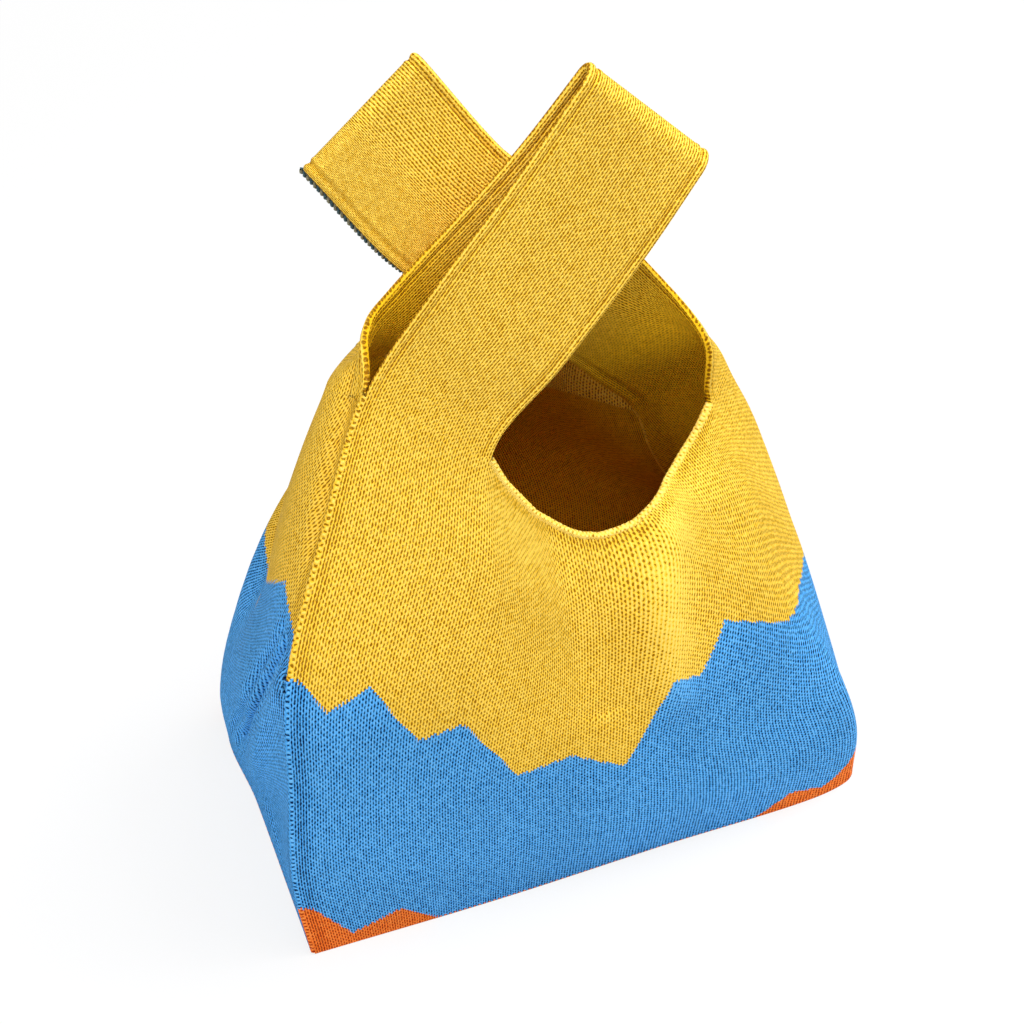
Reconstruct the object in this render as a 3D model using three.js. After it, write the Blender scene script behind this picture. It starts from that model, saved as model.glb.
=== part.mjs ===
// A knitted bag with two flat handle loops, standing on its base with the handles crossed.
// Millimetres, +X to the bag's right, +Y to its back, +Z up, origin at the middle of the base.
// Two equal knitted pieces make the body, joined at its front left and back right corners.
import * as THREE from "three";

// Driving sizes of the bag as it stands.
const base_width = 220;
const base_depth = 124;
const standing_height = 320;

// Driving sizes of the knit.
const knit_thickness = 2.4;
const strap_width = 51.5;
const seam_roll_diameter = 3;
const bound_edge_diameter = 3.2;
const twisted_rim_diameter = 1.6;

// Clearance between pieces that are knitted on to each other.
const seam_gap = 0.3;

// Colours of the three yarns and of the twisted rim.
const yellow_yarn = 0xe6b93c;
const blue_yarn = 0x5aa5e6;
const orange_yarn = 0xf26a1b;
const rim_yarn = 0x9a9c86;
const yarn_roughness = 0.92;

// Mesh counts along and across the pieces.
const border_rows = 2;
const blue_rows = 7;
const yellow_rows = 6;
const columns_per_wale = 3;
const strap_columns = 4;
const root_rows = 8;
const band_rows = 8;
const fold_rows = 6;
const roll_sides = 8;
const roll_steps = 20;

// Shares of the way between two lines: for taking directions, and the least width of a column.
const probe_share = 0.02;
const least_column_share = 0.04;

// Share of a strap over which its cross section goes from the body's bow to flat.
const root_reach_share = 0.5;

// Places below are shares of half the base width, half the base depth and the standing height.
// Each wale, a line of stitches, runs from the base to the neck edge or to a strap's start.
const wale_places_share = {
  front_left_crease: [
    [-1, -1.03, 0], [-1.03, -0.96, 0.125], [-1, -0.86, 0.266],
    [-0.95, -0.69, 0.41], [-0.755, -0.35, 0.55], [-0.564, -0.065, 0.672],
  ],
  front_left_neck: [
    [-0.34, -1.03, 0], [-0.34, -1.08, 0.12], [-0.34, -1.07, 0.238],
    [-0.32, -0.94, 0.356], [-0.28, -0.69, 0.475], [-0.23, -0.35, 0.592],
  ],
  front_middle: [
    [0.25, -1, 0], [0.24, -1.1, 0.1], [0.22, -1.1, 0.2],
    [0.18, -1.02, 0.3], [0.12, -0.86, 0.4], [0.044, -0.613, 0.494],
  ],
  front_right_turn: [
    [0.9, -0.97, 0], [0.9, -0.99, 0.1], [0.815, -0.95, 0.2],
    [0.665, -0.855, 0.306], [0.48, -0.69, 0.412], [0.282, -0.452, 0.495],
  ],
  right_front_turn: [
    [1.02, -0.75, 0], [0.99, -0.74, 0.1], [0.895, -0.69, 0.219],
    [0.764, -0.565, 0.338], [0.627, -0.42, 0.444], [0.455, -0.226, 0.506],
  ],
  right_neck: [
    [1.02, -0.13, 0], [1.01, -0.13, 0.112], [0.94, -0.18, 0.238],
    [0.83, -0.22, 0.355], [0.68, -0.2, 0.455], [0.565, -0.065, 0.53],
  ],
  right_flank: [
    [1, 0.42, 0], [1, 0.42, 0.1], [0.94, 0.36, 0.215],
    [0.86, 0.27, 0.335], [0.775, 0.22, 0.44], [0.67, 0.2, 0.53],
  ],
  back_right_crease: [
    [1, 1, 0], [0.98, 0.97, 0.081], [0.84, 0.87, 0.163],
    [0.67, 0.76, 0.244], [0.555, 0.66, 0.331], [0.464, 0.565, 0.422],
  ],
  back_right_neck: [
    [0.34, 1, 0], [0.345, 1.08, 0.094], [0.33, 1.1, 0.194],
    [0.26, 1.06, 0.294], [0.16, 0.95, 0.388], [0.055, 0.806, 0.475],
  ],
  back_middle: [
    [-0.25, 1, 0], [-0.25, 1.1, 0.1], [-0.25, 1.13, 0.2],
    [-0.25, 1.06, 0.3], [-0.25, 0.94, 0.39], [-0.255, 0.806, 0.475],
  ],
  back_left_turn: [
    [-0.84, 1, 0], [-0.845, 1.05, 0.1], [-0.82, 1, 0.206],
    [-0.74, 0.92, 0.319], [-0.58, 0.86, 0.42], [-0.31, 0.86, 0.5],
  ],
  left_back_turn: [
    [-1.01, 0.74, 0], [-1.02, 0.71, 0.1], [-0.94, 0.68, 0.19],
    [-0.79, 0.68, 0.294], [-0.65, 0.74, 0.41], [-0.37, 0.85, 0.57],
  ],
  left_neck: [
    [-1, 0.16, 0], [-1.01, 0.19, 0.1], [-1, 0.226, 0.215],
    [-0.875, 0.3, 0.344], [-0.74, 0.42, 0.474], [-0.46, 0.68, 0.6],
  ],
  left_flank: [
    [-1, -0.42, 0], [-1, -0.38, 0.11], [-0.985, -0.3, 0.24],
    [-0.92, -0.15, 0.38], [-0.79, 0.06, 0.52], [-0.63, 0.22, 0.64],
  ],
};

// Each strap is a ribbon through pairs of places, first on its armhole edge, then on its neck edge.
const strap_places_share = {
  front_left: [
    [[-0.564, -0.065, 0.672], [-0.23, -0.35, 0.592]],
    [[-0.322, -0.019, 0.783], [0.007, -0.288, 0.692]],
    [[-0.08, 0.026, 0.894], [0.275, -0.238, 0.795]],
    [[0.153, 0.071, 1.001], [0.486, -0.166, 0.89]],
  ],
  back_left: [
    [[-0.573, -0.016, 0.666], [-0.46, 0.68, 0.6]],
    [[-0.555, 0.1, 0.735], [-0.245, 0.53, 0.6]],
    [[-0.42, 0.161, 0.769], [-0.13, 0.161, 0.647]],
    [[-0.073, 0.177, 0.889], [0.262, -0.113, 0.796]],
    [[0.17, 0.209, 0.994], [0.504, -0.028, 0.882]],
  ],
  front_right: [
    [[0.464, 0.565, 0.422], [0.565, -0.065, 0.53]],
    [[0.3, 0.435, 0.509], [0.56, 0.048, 0.609]],
    [[0.155, 0.387, 0.572], [0.395, 0.242, 0.705]],
    [[-0.109, 0.33, 0.672], [0.2, 0.371, 0.778]],
    [[-0.381, 0.29, 0.766], [0.004, 0.516, 0.847]],
    [[-0.611, 0.516, 0.882], [-0.24, 0.637, 0.975]],
  ],
  back_right: [
    [[0.464, 0.581, 0.425], [0.055, 0.806, 0.475]],
    [[0.464, 0.548, 0.556], [0.036, 0.677, 0.531]],
    [[0.4, 0.452, 0.681], [0.073, 0.548, 0.581]],
    [[0.226, 0.47, 0.776], [-0.101, 0.429, 0.663]],
    [[0.005, 0.607, 0.84], [-0.379, 0.381, 0.759]],
    [[-0.244, 0.72, 0.968], [-0.609, 0.6, 0.875]],
  ],
};

// The colour changes on each knitted piece: wale number along it, and share of the way up.
const yellow_start_share = [
  [0, 0.6], [0.05, 0.6], [0.18, 0.55], [0.37, 0.6], [0.59, 0.5], [0.81, 0.535],
  [1.08, 0.415], [1.41, 0.47], [1.74, 0.415], [2.14, 0.645], [2.33, 0.615], [2.67, 0.705],
  [3.1, 0.61], [4.57, 0.525], [4.95, 0.67], [5.2, 0.62], [6.4, 0.695], [6.53, 0.68],
  [7, 0.66],
];
const orange_end_share = [
  [0, 0.135], [0.05, 0.13], [0.21, 0.03], [0.47, 0.065], [0.62, 0.02], [2.55, 0.02],
  [2.68, 0.07], [2.9, 0.04], [3.43, 0.125], [3.9, 0.02], [7, 0.02],
];

// The wale number just past a piece's rounded corner, where its long panel ends.
const turn_wale_share = 4;

// The wale numbers at which a piece's neck edge starts and ends.
const neck_wales_share = [1, 5];

// The two wales that each strap's edges grow from.
const strap_wales = {
  front_left: ["front_left_crease", "front_left_neck"],
  back_left: ["front_left_crease", "left_neck"],
  front_right: ["back_right_crease", "right_neck"],
  back_right: ["back_right_crease", "back_right_neck"],
};

// Shares of each strap at which its root ends and the swinging band starts.
const root_end_share = {
  front_left: 0.36,
  back_left: 0.6,
  front_right: 0.58,
  back_right: 0.62,
};

// A place given in shares, as a point in millimetres.
function place([across_share, back_share, up_share]) {
  return new THREE.Vector3(
    (across_share * base_width) / 2,
    (back_share * base_depth) / 2,
    up_share * standing_height,
  );
}

// A smooth line through points, which it passes at 0, 1, 2 and so on.
class Run {
  constructor(points) {
    this.last = points.length - 1;
    this.curve = new THREE.CatmullRomCurve3(points, false, "catmullrom");
  }

  at(index) {
    return this.curve.getPoint(THREE.MathUtils.clamp(index / this.last, 0, 1));
  }
}

// The places of a wale from the base to its top.
function wale_places(wale) {
  return wale_places_share[wale].map(place);
}

// The places of one edge of a strap, side 0 by the armhole or side 1 by the neck.
function strap_edge(strap, side) {
  return strap_places_share[strap].map((pair, station) => {
    const [arm, neck] = pair.map(place);
    if (station === 0) return side === 0 ? arm : neck;
    const half = neck.clone().sub(arm).setLength(strap_width / 2);
    const middle = arm.lerp(neck, 0.5);
    return side === 0 ? middle.sub(half) : middle.add(half);
  });
}

// The places that carry a wale on into the first strap edge that grows from it.
function places_beyond(wale) {
  const strap = Object.keys(strap_wales).find((name) => strap_wales[name].includes(wale));
  return strap ? strap_edge(strap, strap_wales[strap].indexOf(wale)).slice(1) : [];
}

// A surface with two numbers along it, u across and v along, and a point for each pair.
class Surface {
  constructor(u_last, v_last) {
    this.u_last = u_last;
    this.v_last = v_last;
  }

  // The two points a small way either side of (u, v) in each direction.
  slopes(u, v) {
    const u_low = Math.max(u - probe_share, 0);
    const u_high = Math.min(u + probe_share, this.u_last);
    const v_low = Math.max(v - probe_share, 0);
    const v_high = Math.min(v + probe_share, this.v_last);
    return {
      across: this.point(u_high, v).sub(this.point(u_low, v)).divideScalar(u_high - u_low),
      along: this.point(u, v_high).sub(this.point(u, v_low)).divideScalar(v_high - v_low),
    };
  }

  // A middle point of the knit there and the direction straight out of its outer face.
  node(u, v) {
    const { across, along } = this.slopes(u, v);
    return { point: this.point(u, v), normal: across.cross(along).normalize() };
  }

  // The change of u or of v that goes a given distance square to the line that it leaves.
  u_step(u, v, distance) {
    const { across, along } = this.slopes(u, v);
    return distance / across.projectOnPlane(along).length();
  }

  v_step(u, v, distance) {
    const { across, along } = this.slopes(u, v);
    return distance / along.projectOnPlane(across).length();
  }
}

// One of the two equal knitted pieces, a row of wales that runs anticlockwise seen from above.
class KnittedPiece extends Surface {
  constructor(wales) {
    super(wales.length - 1, 1);
    this.top = wale_places_share[wales[0]].length - 1;
    this.runs = wales.map((wale) => new Run([...wale_places(wale), ...places_beyond(wale)]));
  }

  point(u, v) {
    return new Run(this.runs.map((run) => run.at(v * this.top))).at(u);
  }
}

const front_wales = [
  "front_left_crease",
  "front_left_neck",
  "front_middle",
  "front_right_turn",
  "right_front_turn",
  "right_neck",
  "right_flank",
  "back_right_crease",
];
const back_wales = [
  "back_right_crease",
  "back_right_neck",
  "back_middle",
  "back_left_turn",
  "left_back_turn",
  "left_neck",
  "left_flank",
  "front_left_crease",
];
const front_piece = new KnittedPiece(front_wales);
const back_piece = new KnittedPiece(back_wales);

// A strap: u from its armhole edge 0 to its neck edge 1, v from the body 0 to the fold 1.
class Strap extends Surface {
  constructor(name, piece, wales) {
    super(1, 1);
    const [arm_wale, neck_wale] = strap_wales[name];
    this.piece = piece;
    this.root_end = root_end_share[name];
    this.wale_numbers = [wales.indexOf(arm_wale), wales.indexOf(neck_wale)];
    this.start = piece.top;
    this.steps = strap_places_share[name].length - 1;
    this.edges = [arm_wale, neck_wale].map(
      (wale, side) => new Run([...wale_places(wale).slice(0, -1), ...strap_edge(name, side)]),
    );
  }

  flat_point(u, v) {
    const index = this.start + v * this.steps;
    return this.edges[0].at(index).lerp(this.edges[1].at(index), u);
  }

  // The share of the body's bow that is left at v.
  bow(v) {
    return 1 - THREE.MathUtils.smoothstep(v, 0, root_reach_share);
  }

  point(u, v) {
    const wale = THREE.MathUtils.lerp(...this.wale_numbers, u);
    const bow = this.piece.point(wale, 1).sub(this.flat_point(u, 0));
    return this.flat_point(u, v).addScaledVector(bow, this.bow(v));
  }

  // The shares across the strap, which start clear of the seam where the strap grows from it.
  columns(v) {
    const clear = this.u_step(0, v, knit_thickness / 2 + seam_gap) * this.bow(v);
    return even_steps(clear, 1, strap_columns);
  }

  // Rows of nodes from v_first to v_last, each from the armhole edge to the neck edge.
  grid(v_first, v_last, rows) {
    return even_steps(v_first, v_last, rows).map((v) => this.columns(v).map((u) => this.node(u, v)));
  }
}

const front_left = new Strap("front_left", front_piece, front_wales);
const back_left = new Strap("back_left", back_piece, back_wales);
const front_right = new Strap("front_right", front_piece, front_wales);
const back_right = new Strap("back_right", back_piece, back_wales);

// Numbers in even steps from first to last.
function even_steps(first, last, steps) {
  return Array.from({ length: steps + 1 }, (_, i) => THREE.MathUtils.lerp(first, last, i / steps));
}

// The value at u on a line of straight steps through pairs.
function straight_steps(pairs, u) {
  const next = Math.max(1, pairs.findIndex(([pair_u]) => pair_u >= u));
  const [u0, v0] = pairs[next - 1];
  const [u1, v1] = pairs[next];
  return THREE.MathUtils.lerp(v0, v1, (u - u0) / (u1 - u0));
}

// The solid between two equal grids of points, rows upwards and columns to the right from outside.
function solid_between(outer, inner) {
  const rows = outer.length;
  const columns = outer[0].length;
  const indices = [];
  const at = (layer, row, column) => (layer * rows + row) * columns + column;
  const quad = (a, b, c, d) => indices.push(a, b, c, a, c, d);
  for (let row = 1; row < rows; row++) {
    for (let column = 1; column < columns; column++) {
      const corners = [[row - 1, column - 1], [row - 1, column], [row, column], [row, column - 1]];
      quad(...corners.map((corner) => at(0, ...corner)));
      quad(...corners.reverse().map((corner) => at(1, ...corner)));
    }
  }
  // The rim's quads are split alike on opposite sides, so that neighbouring solids lie flush.
  const wall = (a, b) => quad(at(0, ...b), at(0, ...a), at(1, ...a), at(1, ...b));
  const facing_wall = (a, b) => quad(at(0, ...a), at(1, ...a), at(1, ...b), at(0, ...b));
  for (let column = 1; column < columns; column++) {
    wall([0, column - 1], [0, column]);
    facing_wall([rows - 1, column], [rows - 1, column - 1]);
  }
  for (let row = 1; row < rows; row++) {
    wall([row - 1, columns - 1], [row, columns - 1]);
    facing_wall([row, 0], [row - 1, 0]);
  }
  const geometry = new THREE.BufferGeometry().setFromPoints([...outer.flat(), ...inner.flat()]);
  geometry.setIndex(indices);
  geometry.computeVertexNormals();
  return geometry;
}

// A knitted sheet: its two faces lie half its thickness either side of a grid of nodes.
function knitted_sheet(grid) {
  const face = (side) =>
    grid.map((row) =>
      row.map(({ point, normal }) =>
        point.clone().addScaledVector(normal, (side * knit_thickness) / 2),
      ),
    );
  return solid_between(face(1), face(-1));
}

// A round cord through points.
function cord(points, diameter) {
  const section = new THREE.Shape();
  section.absarc(0, 0, diameter / 2, 0, 2 * Math.PI);
  const path = new THREE.CatmullRomCurve3(points, false, "catmullrom");
  return new THREE.ExtrudeGeometry(section, {
    extrudePath: path,
    steps: roll_steps,
    curveSegments: roll_sides / 2,
  });
}

// How far a panel keeps from the seam at its side, more where the two pieces close to a wedge.
function seam_clearance(piece, crease_u, v) {
  const other = piece === front_piece ? back_piece : front_piece;
  const { across, along } = piece.slopes(crease_u, v);
  const inward = across.projectOnPlane(along);
  const other_inward = other.slopes(other.u_last - crease_u, v).across.projectOnPlane(along).negate();
  const half_angle = inward.angleTo(other_inward) / 2;
  const wedge = (knit_thickness / 2 + seam_gap) / Math.tan(half_angle);
  return Math.max(seam_roll_diameter / 2 + seam_gap, wedge);
}

// The wale numbers of a panel's columns: even ones, and the corners of the colour changes.
function panel_columns(first, last) {
  const corners = [...yellow_start_share, ...orange_end_share].map(([u]) => u);
  const even = even_steps(0, front_piece.u_last, front_piece.u_last * columns_per_wale);
  const columns = [first, last];
  for (const u of [...corners, ...even]) {
    const clear = columns.every((column) => Math.abs(column - u) > least_column_share);
    if (clear && u > first && u < last) columns.push(u);
  }
  return columns.sort((a, b) => a - b);
}

// The lowest and highest share of a panel in one yarn at wale number u.
function yarn_range(piece, yarn, u) {
  const orange_end = straight_steps(orange_end_share, u);
  const yellow_start = straight_steps(yellow_start_share, u);
  const gap = (v) => piece.v_step(u, v, seam_gap);
  if (yarn === "orange") return [0, orange_end - gap(orange_end)];
  if (yarn === "blue") return [orange_end + gap(orange_end), yellow_start - gap(yellow_start)];
  const under_edge = u >= neck_wales_share[0] && u <= neck_wales_share[1];
  const top_gap = under_edge ? bound_edge_diameter / 2 + seam_gap : seam_gap;
  return [yellow_start + gap(yellow_start), 1 - piece.v_step(u, 1, top_gap)];
}

// One panel of a piece in one yarn between two wales.
function panel(piece, first, last, yarn, rows) {
  const clearance = (u, v) =>
    u === 0 || u === piece.u_last ? seam_clearance(piece, u, v) : seam_gap / 2;
  const columns = panel_columns(first, last);
  const ranges = columns.map((u) => yarn_range(piece, yarn, u));
  const grid = even_steps(0, 1, rows).map((share) =>
    columns.map((column, i) => {
      const v = THREE.MathUtils.lerp(...ranges[i], share);
      let u = column;
      if (i === 0) u += piece.u_step(u, v, clearance(u, v));
      if (i === columns.length - 1) u -= piece.u_step(u, v, clearance(u, v));
      const node = piece.node(u, v);
      if (v === 0) node.normal.setZ(0).normalize();
      return node;
    }),
  );
  return knitted_sheet(grid);
}

// The flat base, which lies just inside the foot of the walls.
function base_panel() {
  const inset = knit_thickness / 2 + seam_gap;
  const outline = [];
  for (const piece of [front_piece, back_piece]) {
    const columns = panel_columns(0, piece.u_last);
    columns[0] += piece.u_step(0, 0, seam_roll_diameter / 2 + seam_gap);
    columns[columns.length - 1] -= piece.u_step(piece.u_last, 0, seam_roll_diameter / 2 + seam_gap);
    for (const u of columns) {
      const { point, normal } = piece.node(u, 0);
      normal.setZ(0).normalize();
      point.addScaledVector(normal, -inset);
      outline.push(new THREE.Vector2(point.x, point.y));
    }
  }
  return new THREE.ExtrudeGeometry(new THREE.Shape(outline), {
    depth: knit_thickness,
    bevelEnabled: false,
  });
}

// The roll of linked stitches up the seam at a piece's first wale.
function seam_roll(piece) {
  const first = piece.v_step(0, 0, seam_gap);
  const points = even_steps(first, 1, roll_steps).map((v) => piece.point(0, v));
  return cord(points, seam_roll_diameter);
}

// The rolled edge of a piece between its two straps.
function neck_edge(piece) {
  const [first, last] = neck_wales_share;
  const clear = piece.u_step(first, 1, knit_thickness / 2 + seam_gap);
  const points = even_steps(first + clear, last - clear, roll_steps).map((u) => piece.point(u, 1));
  return cord(points, bound_edge_diameter);
}

// The lower part of a strap, from the body to where the band starts to swing.
function strap_root(strap) {
  const gap = strap.v_step(0.5, 0, seam_gap);
  return knitted_sheet(strap.grid(gap, strap.root_end - gap, root_rows));
}

// The rows of a band over its fold, between the ends of its two layers.
function fold(front_row, back_row, up) {
  return even_steps(0, Math.PI, fold_rows)
    .slice(1, -1)
    .map((angle) =>
      front_row.map((front, i) => {
        const half = front.point.clone().sub(back_row[i].point).divideScalar(2);
        const rise = up.clone().projectOnPlane(half).setLength(half.length());
        const spoke = half.multiplyScalar(Math.cos(angle)).addScaledVector(rise, Math.sin(angle));
        const centre = front.point.clone().lerp(back_row[i].point, 0.5);
        return { point: centre.add(spoke), normal: spoke.clone().normalize() };
      }),
    );
}

// A band: up the front strap, over the fold and down the back strap. Crossed straps meet with
// the armhole edge of one on the neck edge of the other.
function handle_band(front, back, crossed) {
  const back_corner = back.flat_point(crossed ? 1 : 0, 1);
  const half_layers = front.flat_point(0, 1).distanceTo(back_corner) / 2;
  const front_end = 1 - front.v_step(0, 1, half_layers);
  const back_end = 1 - back.v_step(0, 1, half_layers);
  const up = front.slopes(0.5, 1).along;
  const front_grid = front.grid(front.root_end, front_end, band_rows);
  const back_grid = back.grid(back_end, back.root_end, band_rows);
  for (const row of back_grid) {
    if (crossed) row.reverse();
    else row.forEach(({ normal }) => normal.negate());
  }
  return knitted_sheet([...front_grid, ...fold(front_grid.at(-1), back_grid[0], up), ...back_grid]);
}

// The twisted rim along the neck edge of a band's rear layer.
function twisted_rim(strap) {
  const clear = seam_gap + twisted_rim_diameter / 2;
  const points = even_steps(strap.root_end, 1, roll_steps).map((v) => {
    const outward = strap.slopes(1, v).across.setLength(clear);
    return strap.point(1, v).add(outward);
  });
  return cord(points, twisted_rim_diameter);
}

const bag = new THREE.Group();
bag.name = "knitted_handle_bag";

// Adds one named piece in its yarn's colour.
function add(name, geometry, colour) {
  const material = new THREE.MeshStandardMaterial({
    color: colour,
    roughness: yarn_roughness,
    metalness: 0,
  });
  const mesh = new THREE.Mesh(geometry, material);
  mesh.name = name;
  bag.add(mesh);
}

// The yarns up a panel with their colours and rows.
const yarns = [
  ["orange", orange_yarn, border_rows],
  ["blue", blue_yarn, blue_rows],
  ["yellow", yellow_yarn, yellow_rows],
];

add("base_panel", base_panel(), orange_yarn);
for (const [piece, long_side, short_side] of [
  [front_piece, "front", "right_side"],
  [back_piece, "back", "left_side"],
]) {
  for (const [yarn, colour, rows] of yarns) {
    const long_panel = panel(piece, 0, turn_wale_share, yarn, rows);
    const short_panel = panel(piece, turn_wale_share, piece.u_last, yarn, rows);
    add(`${long_side}_${yarn}`, long_panel, colour);
    add(`${short_side}_${yarn}`, short_panel, colour);
  }
}
add("front_left_seam", seam_roll(front_piece), yellow_yarn);
add("back_right_seam", seam_roll(back_piece), yellow_yarn);
add("front_neck_edge", neck_edge(front_piece), yellow_yarn);
add("back_neck_edge", neck_edge(back_piece), yellow_yarn);
add("front_left_strap_root", strap_root(front_left), yellow_yarn);
add("back_left_strap_root", strap_root(back_left), yellow_yarn);
add("front_right_strap_root", strap_root(front_right), yellow_yarn);
add("back_right_strap_root", strap_root(back_right), yellow_yarn);
add("left_handle_band", handle_band(front_left, back_left, false), yellow_yarn);
add("right_handle_band", handle_band(front_right, back_right, true), yellow_yarn);
add("left_handle_rim", twisted_rim(back_left), rim_yarn);
add("right_handle_rim", twisted_rim(back_right), rim_yarn);

export default bag;
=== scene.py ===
"""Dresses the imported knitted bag: its two knitted pieces, handle loops, rolled edges and studio."""

import logging
import math
from dataclasses import dataclass
from enum import Enum

import bpy
import numpy as np
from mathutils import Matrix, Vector


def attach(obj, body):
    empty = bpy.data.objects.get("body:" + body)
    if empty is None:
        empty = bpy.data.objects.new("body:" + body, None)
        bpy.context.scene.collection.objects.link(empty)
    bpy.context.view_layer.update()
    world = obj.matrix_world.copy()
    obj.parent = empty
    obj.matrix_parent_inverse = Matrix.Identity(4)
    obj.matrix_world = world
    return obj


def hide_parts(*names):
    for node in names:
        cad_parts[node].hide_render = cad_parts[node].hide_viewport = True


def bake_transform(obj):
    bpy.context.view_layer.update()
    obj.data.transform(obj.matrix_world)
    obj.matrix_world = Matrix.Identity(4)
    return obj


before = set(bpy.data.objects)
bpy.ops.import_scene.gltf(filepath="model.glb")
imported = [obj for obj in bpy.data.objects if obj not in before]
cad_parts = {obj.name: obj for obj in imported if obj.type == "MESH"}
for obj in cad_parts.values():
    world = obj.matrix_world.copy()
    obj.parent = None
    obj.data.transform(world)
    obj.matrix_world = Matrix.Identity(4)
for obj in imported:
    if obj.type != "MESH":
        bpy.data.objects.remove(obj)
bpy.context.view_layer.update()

log = logging.getLogger("knitted_bag")

Place = tuple[float, float, float]
Colour = tuple[float, float, float, float]
Grid = np.ndarray

WALE_PLACES_SHARE: dict[str, list[Place]] = {
    "front_left_crease": [
        (-1, -1.03, 0), (-1.03, -0.96, 0.125), (-1.0, -0.86, 0.266),
        (-0.95, -0.69, 0.41), (-0.755, -0.35, 0.55), (-0.564, -0.065, 0.672),
    ],
    "front_left_neck": [
        (-0.34, -1.03, 0), (-0.34, -1.08, 0.12), (-0.34, -1.07, 0.238),
        (-0.32, -0.94, 0.356), (-0.28, -0.69, 0.475), (-0.23, -0.35, 0.592),
    ],
    "front_middle": [
        (0.25, -1, 0), (0.24, -1.1, 0.1), (0.22, -1.1, 0.2),
        (0.18, -1.02, 0.3), (0.12, -0.86, 0.4), (0.044, -0.613, 0.494),
    ],
    "front_right_turn": [
        (0.9, -0.97, 0), (0.9, -0.99, 0.1), (0.815, -0.95, 0.2),
        (0.665, -0.855, 0.306), (0.48, -0.69, 0.412), (0.282, -0.452, 0.495),
    ],
    "right_front_turn": [
        (1.02, -0.75, 0), (0.99, -0.74, 0.1), (0.895, -0.69, 0.219),
        (0.764, -0.565, 0.338), (0.627, -0.42, 0.444), (0.455, -0.226, 0.506),
    ],
    "right_neck": [
        (1.02, -0.13, 0), (1.01, -0.13, 0.112), (0.94, -0.18, 0.238),
        (0.83, -0.22, 0.355), (0.68, -0.2, 0.455), (0.565, -0.065, 0.53),
    ],
    "right_flank": [
        (1.0, 0.42, 0), (1.0, 0.42, 0.1), (0.94, 0.36, 0.215),
        (0.86, 0.27, 0.335), (0.775, 0.22, 0.44), (0.67, 0.2, 0.53),
    ],
    "back_right_crease": [
        (1, 1, 0), (0.98, 0.97, 0.081), (0.84, 0.87, 0.163),
        (0.67, 0.76, 0.244), (0.555, 0.66, 0.331), (0.464, 0.565, 0.422),
    ],
    "back_right_neck": [
        (0.34, 1, 0), (0.345, 1.08, 0.094), (0.33, 1.1, 0.194),
        (0.26, 1.06, 0.294), (0.16, 0.95, 0.388), (0.055, 0.806, 0.475),
    ],
    "back_middle": [
        (-0.25, 1, 0), (-0.25, 1.1, 0.1), (-0.25, 1.13, 0.2),
        (-0.25, 1.06, 0.3), (-0.25, 0.94, 0.39), (-0.255, 0.806, 0.475),
    ],
    "back_left_turn": [
        (-0.84, 1, 0), (-0.845, 1.05, 0.1), (-0.82, 1.0, 0.206),
        (-0.74, 0.92, 0.319), (-0.58, 0.86, 0.42), (-0.31, 0.86, 0.5),
    ],
    "left_back_turn": [
        (-1.01, 0.74, 0), (-1.02, 0.71, 0.1), (-0.94, 0.68, 0.19),
        (-0.79, 0.68, 0.294), (-0.65, 0.74, 0.41), (-0.37, 0.85, 0.57),
    ],
    "left_neck": [
        (-1, 0.16, 0), (-1.01, 0.19, 0.1), (-1.0, 0.226, 0.215),
        (-0.875, 0.3, 0.344), (-0.74, 0.42, 0.474), (-0.46, 0.68, 0.6),
    ],
    "left_flank": [
        (-1, -0.42, 0), (-1.0, -0.38, 0.11), (-0.985, -0.3, 0.24),
        (-0.92, -0.15, 0.38), (-0.79, 0.06, 0.52), (-0.63, 0.22, 0.64),
    ],
}

STRAP_PLACES_SHARE: dict[str, list[tuple[Place, Place]]] = {
    "front_left": [
        ((-0.564, -0.065, 0.672), (-0.23, -0.35, 0.592)),
        ((-0.322, -0.019, 0.783), (0.007, -0.288, 0.692)),
        ((-0.08, 0.026, 0.894), (0.275, -0.238, 0.795)),
        ((0.153, 0.071, 1.001), (0.486, -0.166, 0.89)),
    ],
    "back_left": [
        ((-0.573, -0.016, 0.666), (-0.46, 0.68, 0.6)),
        ((-0.555, 0.1, 0.735), (-0.245, 0.53, 0.6)),
        ((-0.42, 0.161, 0.769), (-0.13, 0.161, 0.647)),
        ((-0.073, 0.177, 0.889), (0.262, -0.113, 0.796)),
        ((0.17, 0.209, 0.994), (0.504, -0.028, 0.882)),
    ],
    "front_right": [
        ((0.464, 0.565, 0.422), (0.565, -0.065, 0.53)),
        ((0.3, 0.435, 0.509), (0.56, 0.048, 0.609)),
        ((0.155, 0.387, 0.572), (0.395, 0.242, 0.705)),
        ((-0.109, 0.33, 0.672), (0.2, 0.371, 0.778)),
        ((-0.381, 0.29, 0.766), (0.004, 0.516, 0.847)),
        ((-0.611, 0.516, 0.882), (-0.24, 0.637, 0.975)),
    ],
    "back_right": [
        ((0.464, 0.581, 0.425), (0.055, 0.806, 0.475)),
        ((0.464, 0.548, 0.556), (0.036, 0.677, 0.531)),
        ((0.4, 0.452, 0.681), (0.073, 0.548, 0.581)),
        ((0.226, 0.47, 0.776), (-0.101, 0.429, 0.663)),
        ((0.005, 0.607, 0.84), (-0.379, 0.381, 0.759)),
        ((-0.244, 0.72, 0.968), (-0.609, 0.6, 0.875)),
    ],
}

STRAP_WALES: dict[str, tuple[str, str]] = {
    "front_left": ("front_left_crease", "front_left_neck"),
    "back_left": ("front_left_crease", "left_neck"),
    "front_right": ("back_right_crease", "right_neck"),
    "back_right": ("back_right_crease", "back_right_neck"),
}

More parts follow.
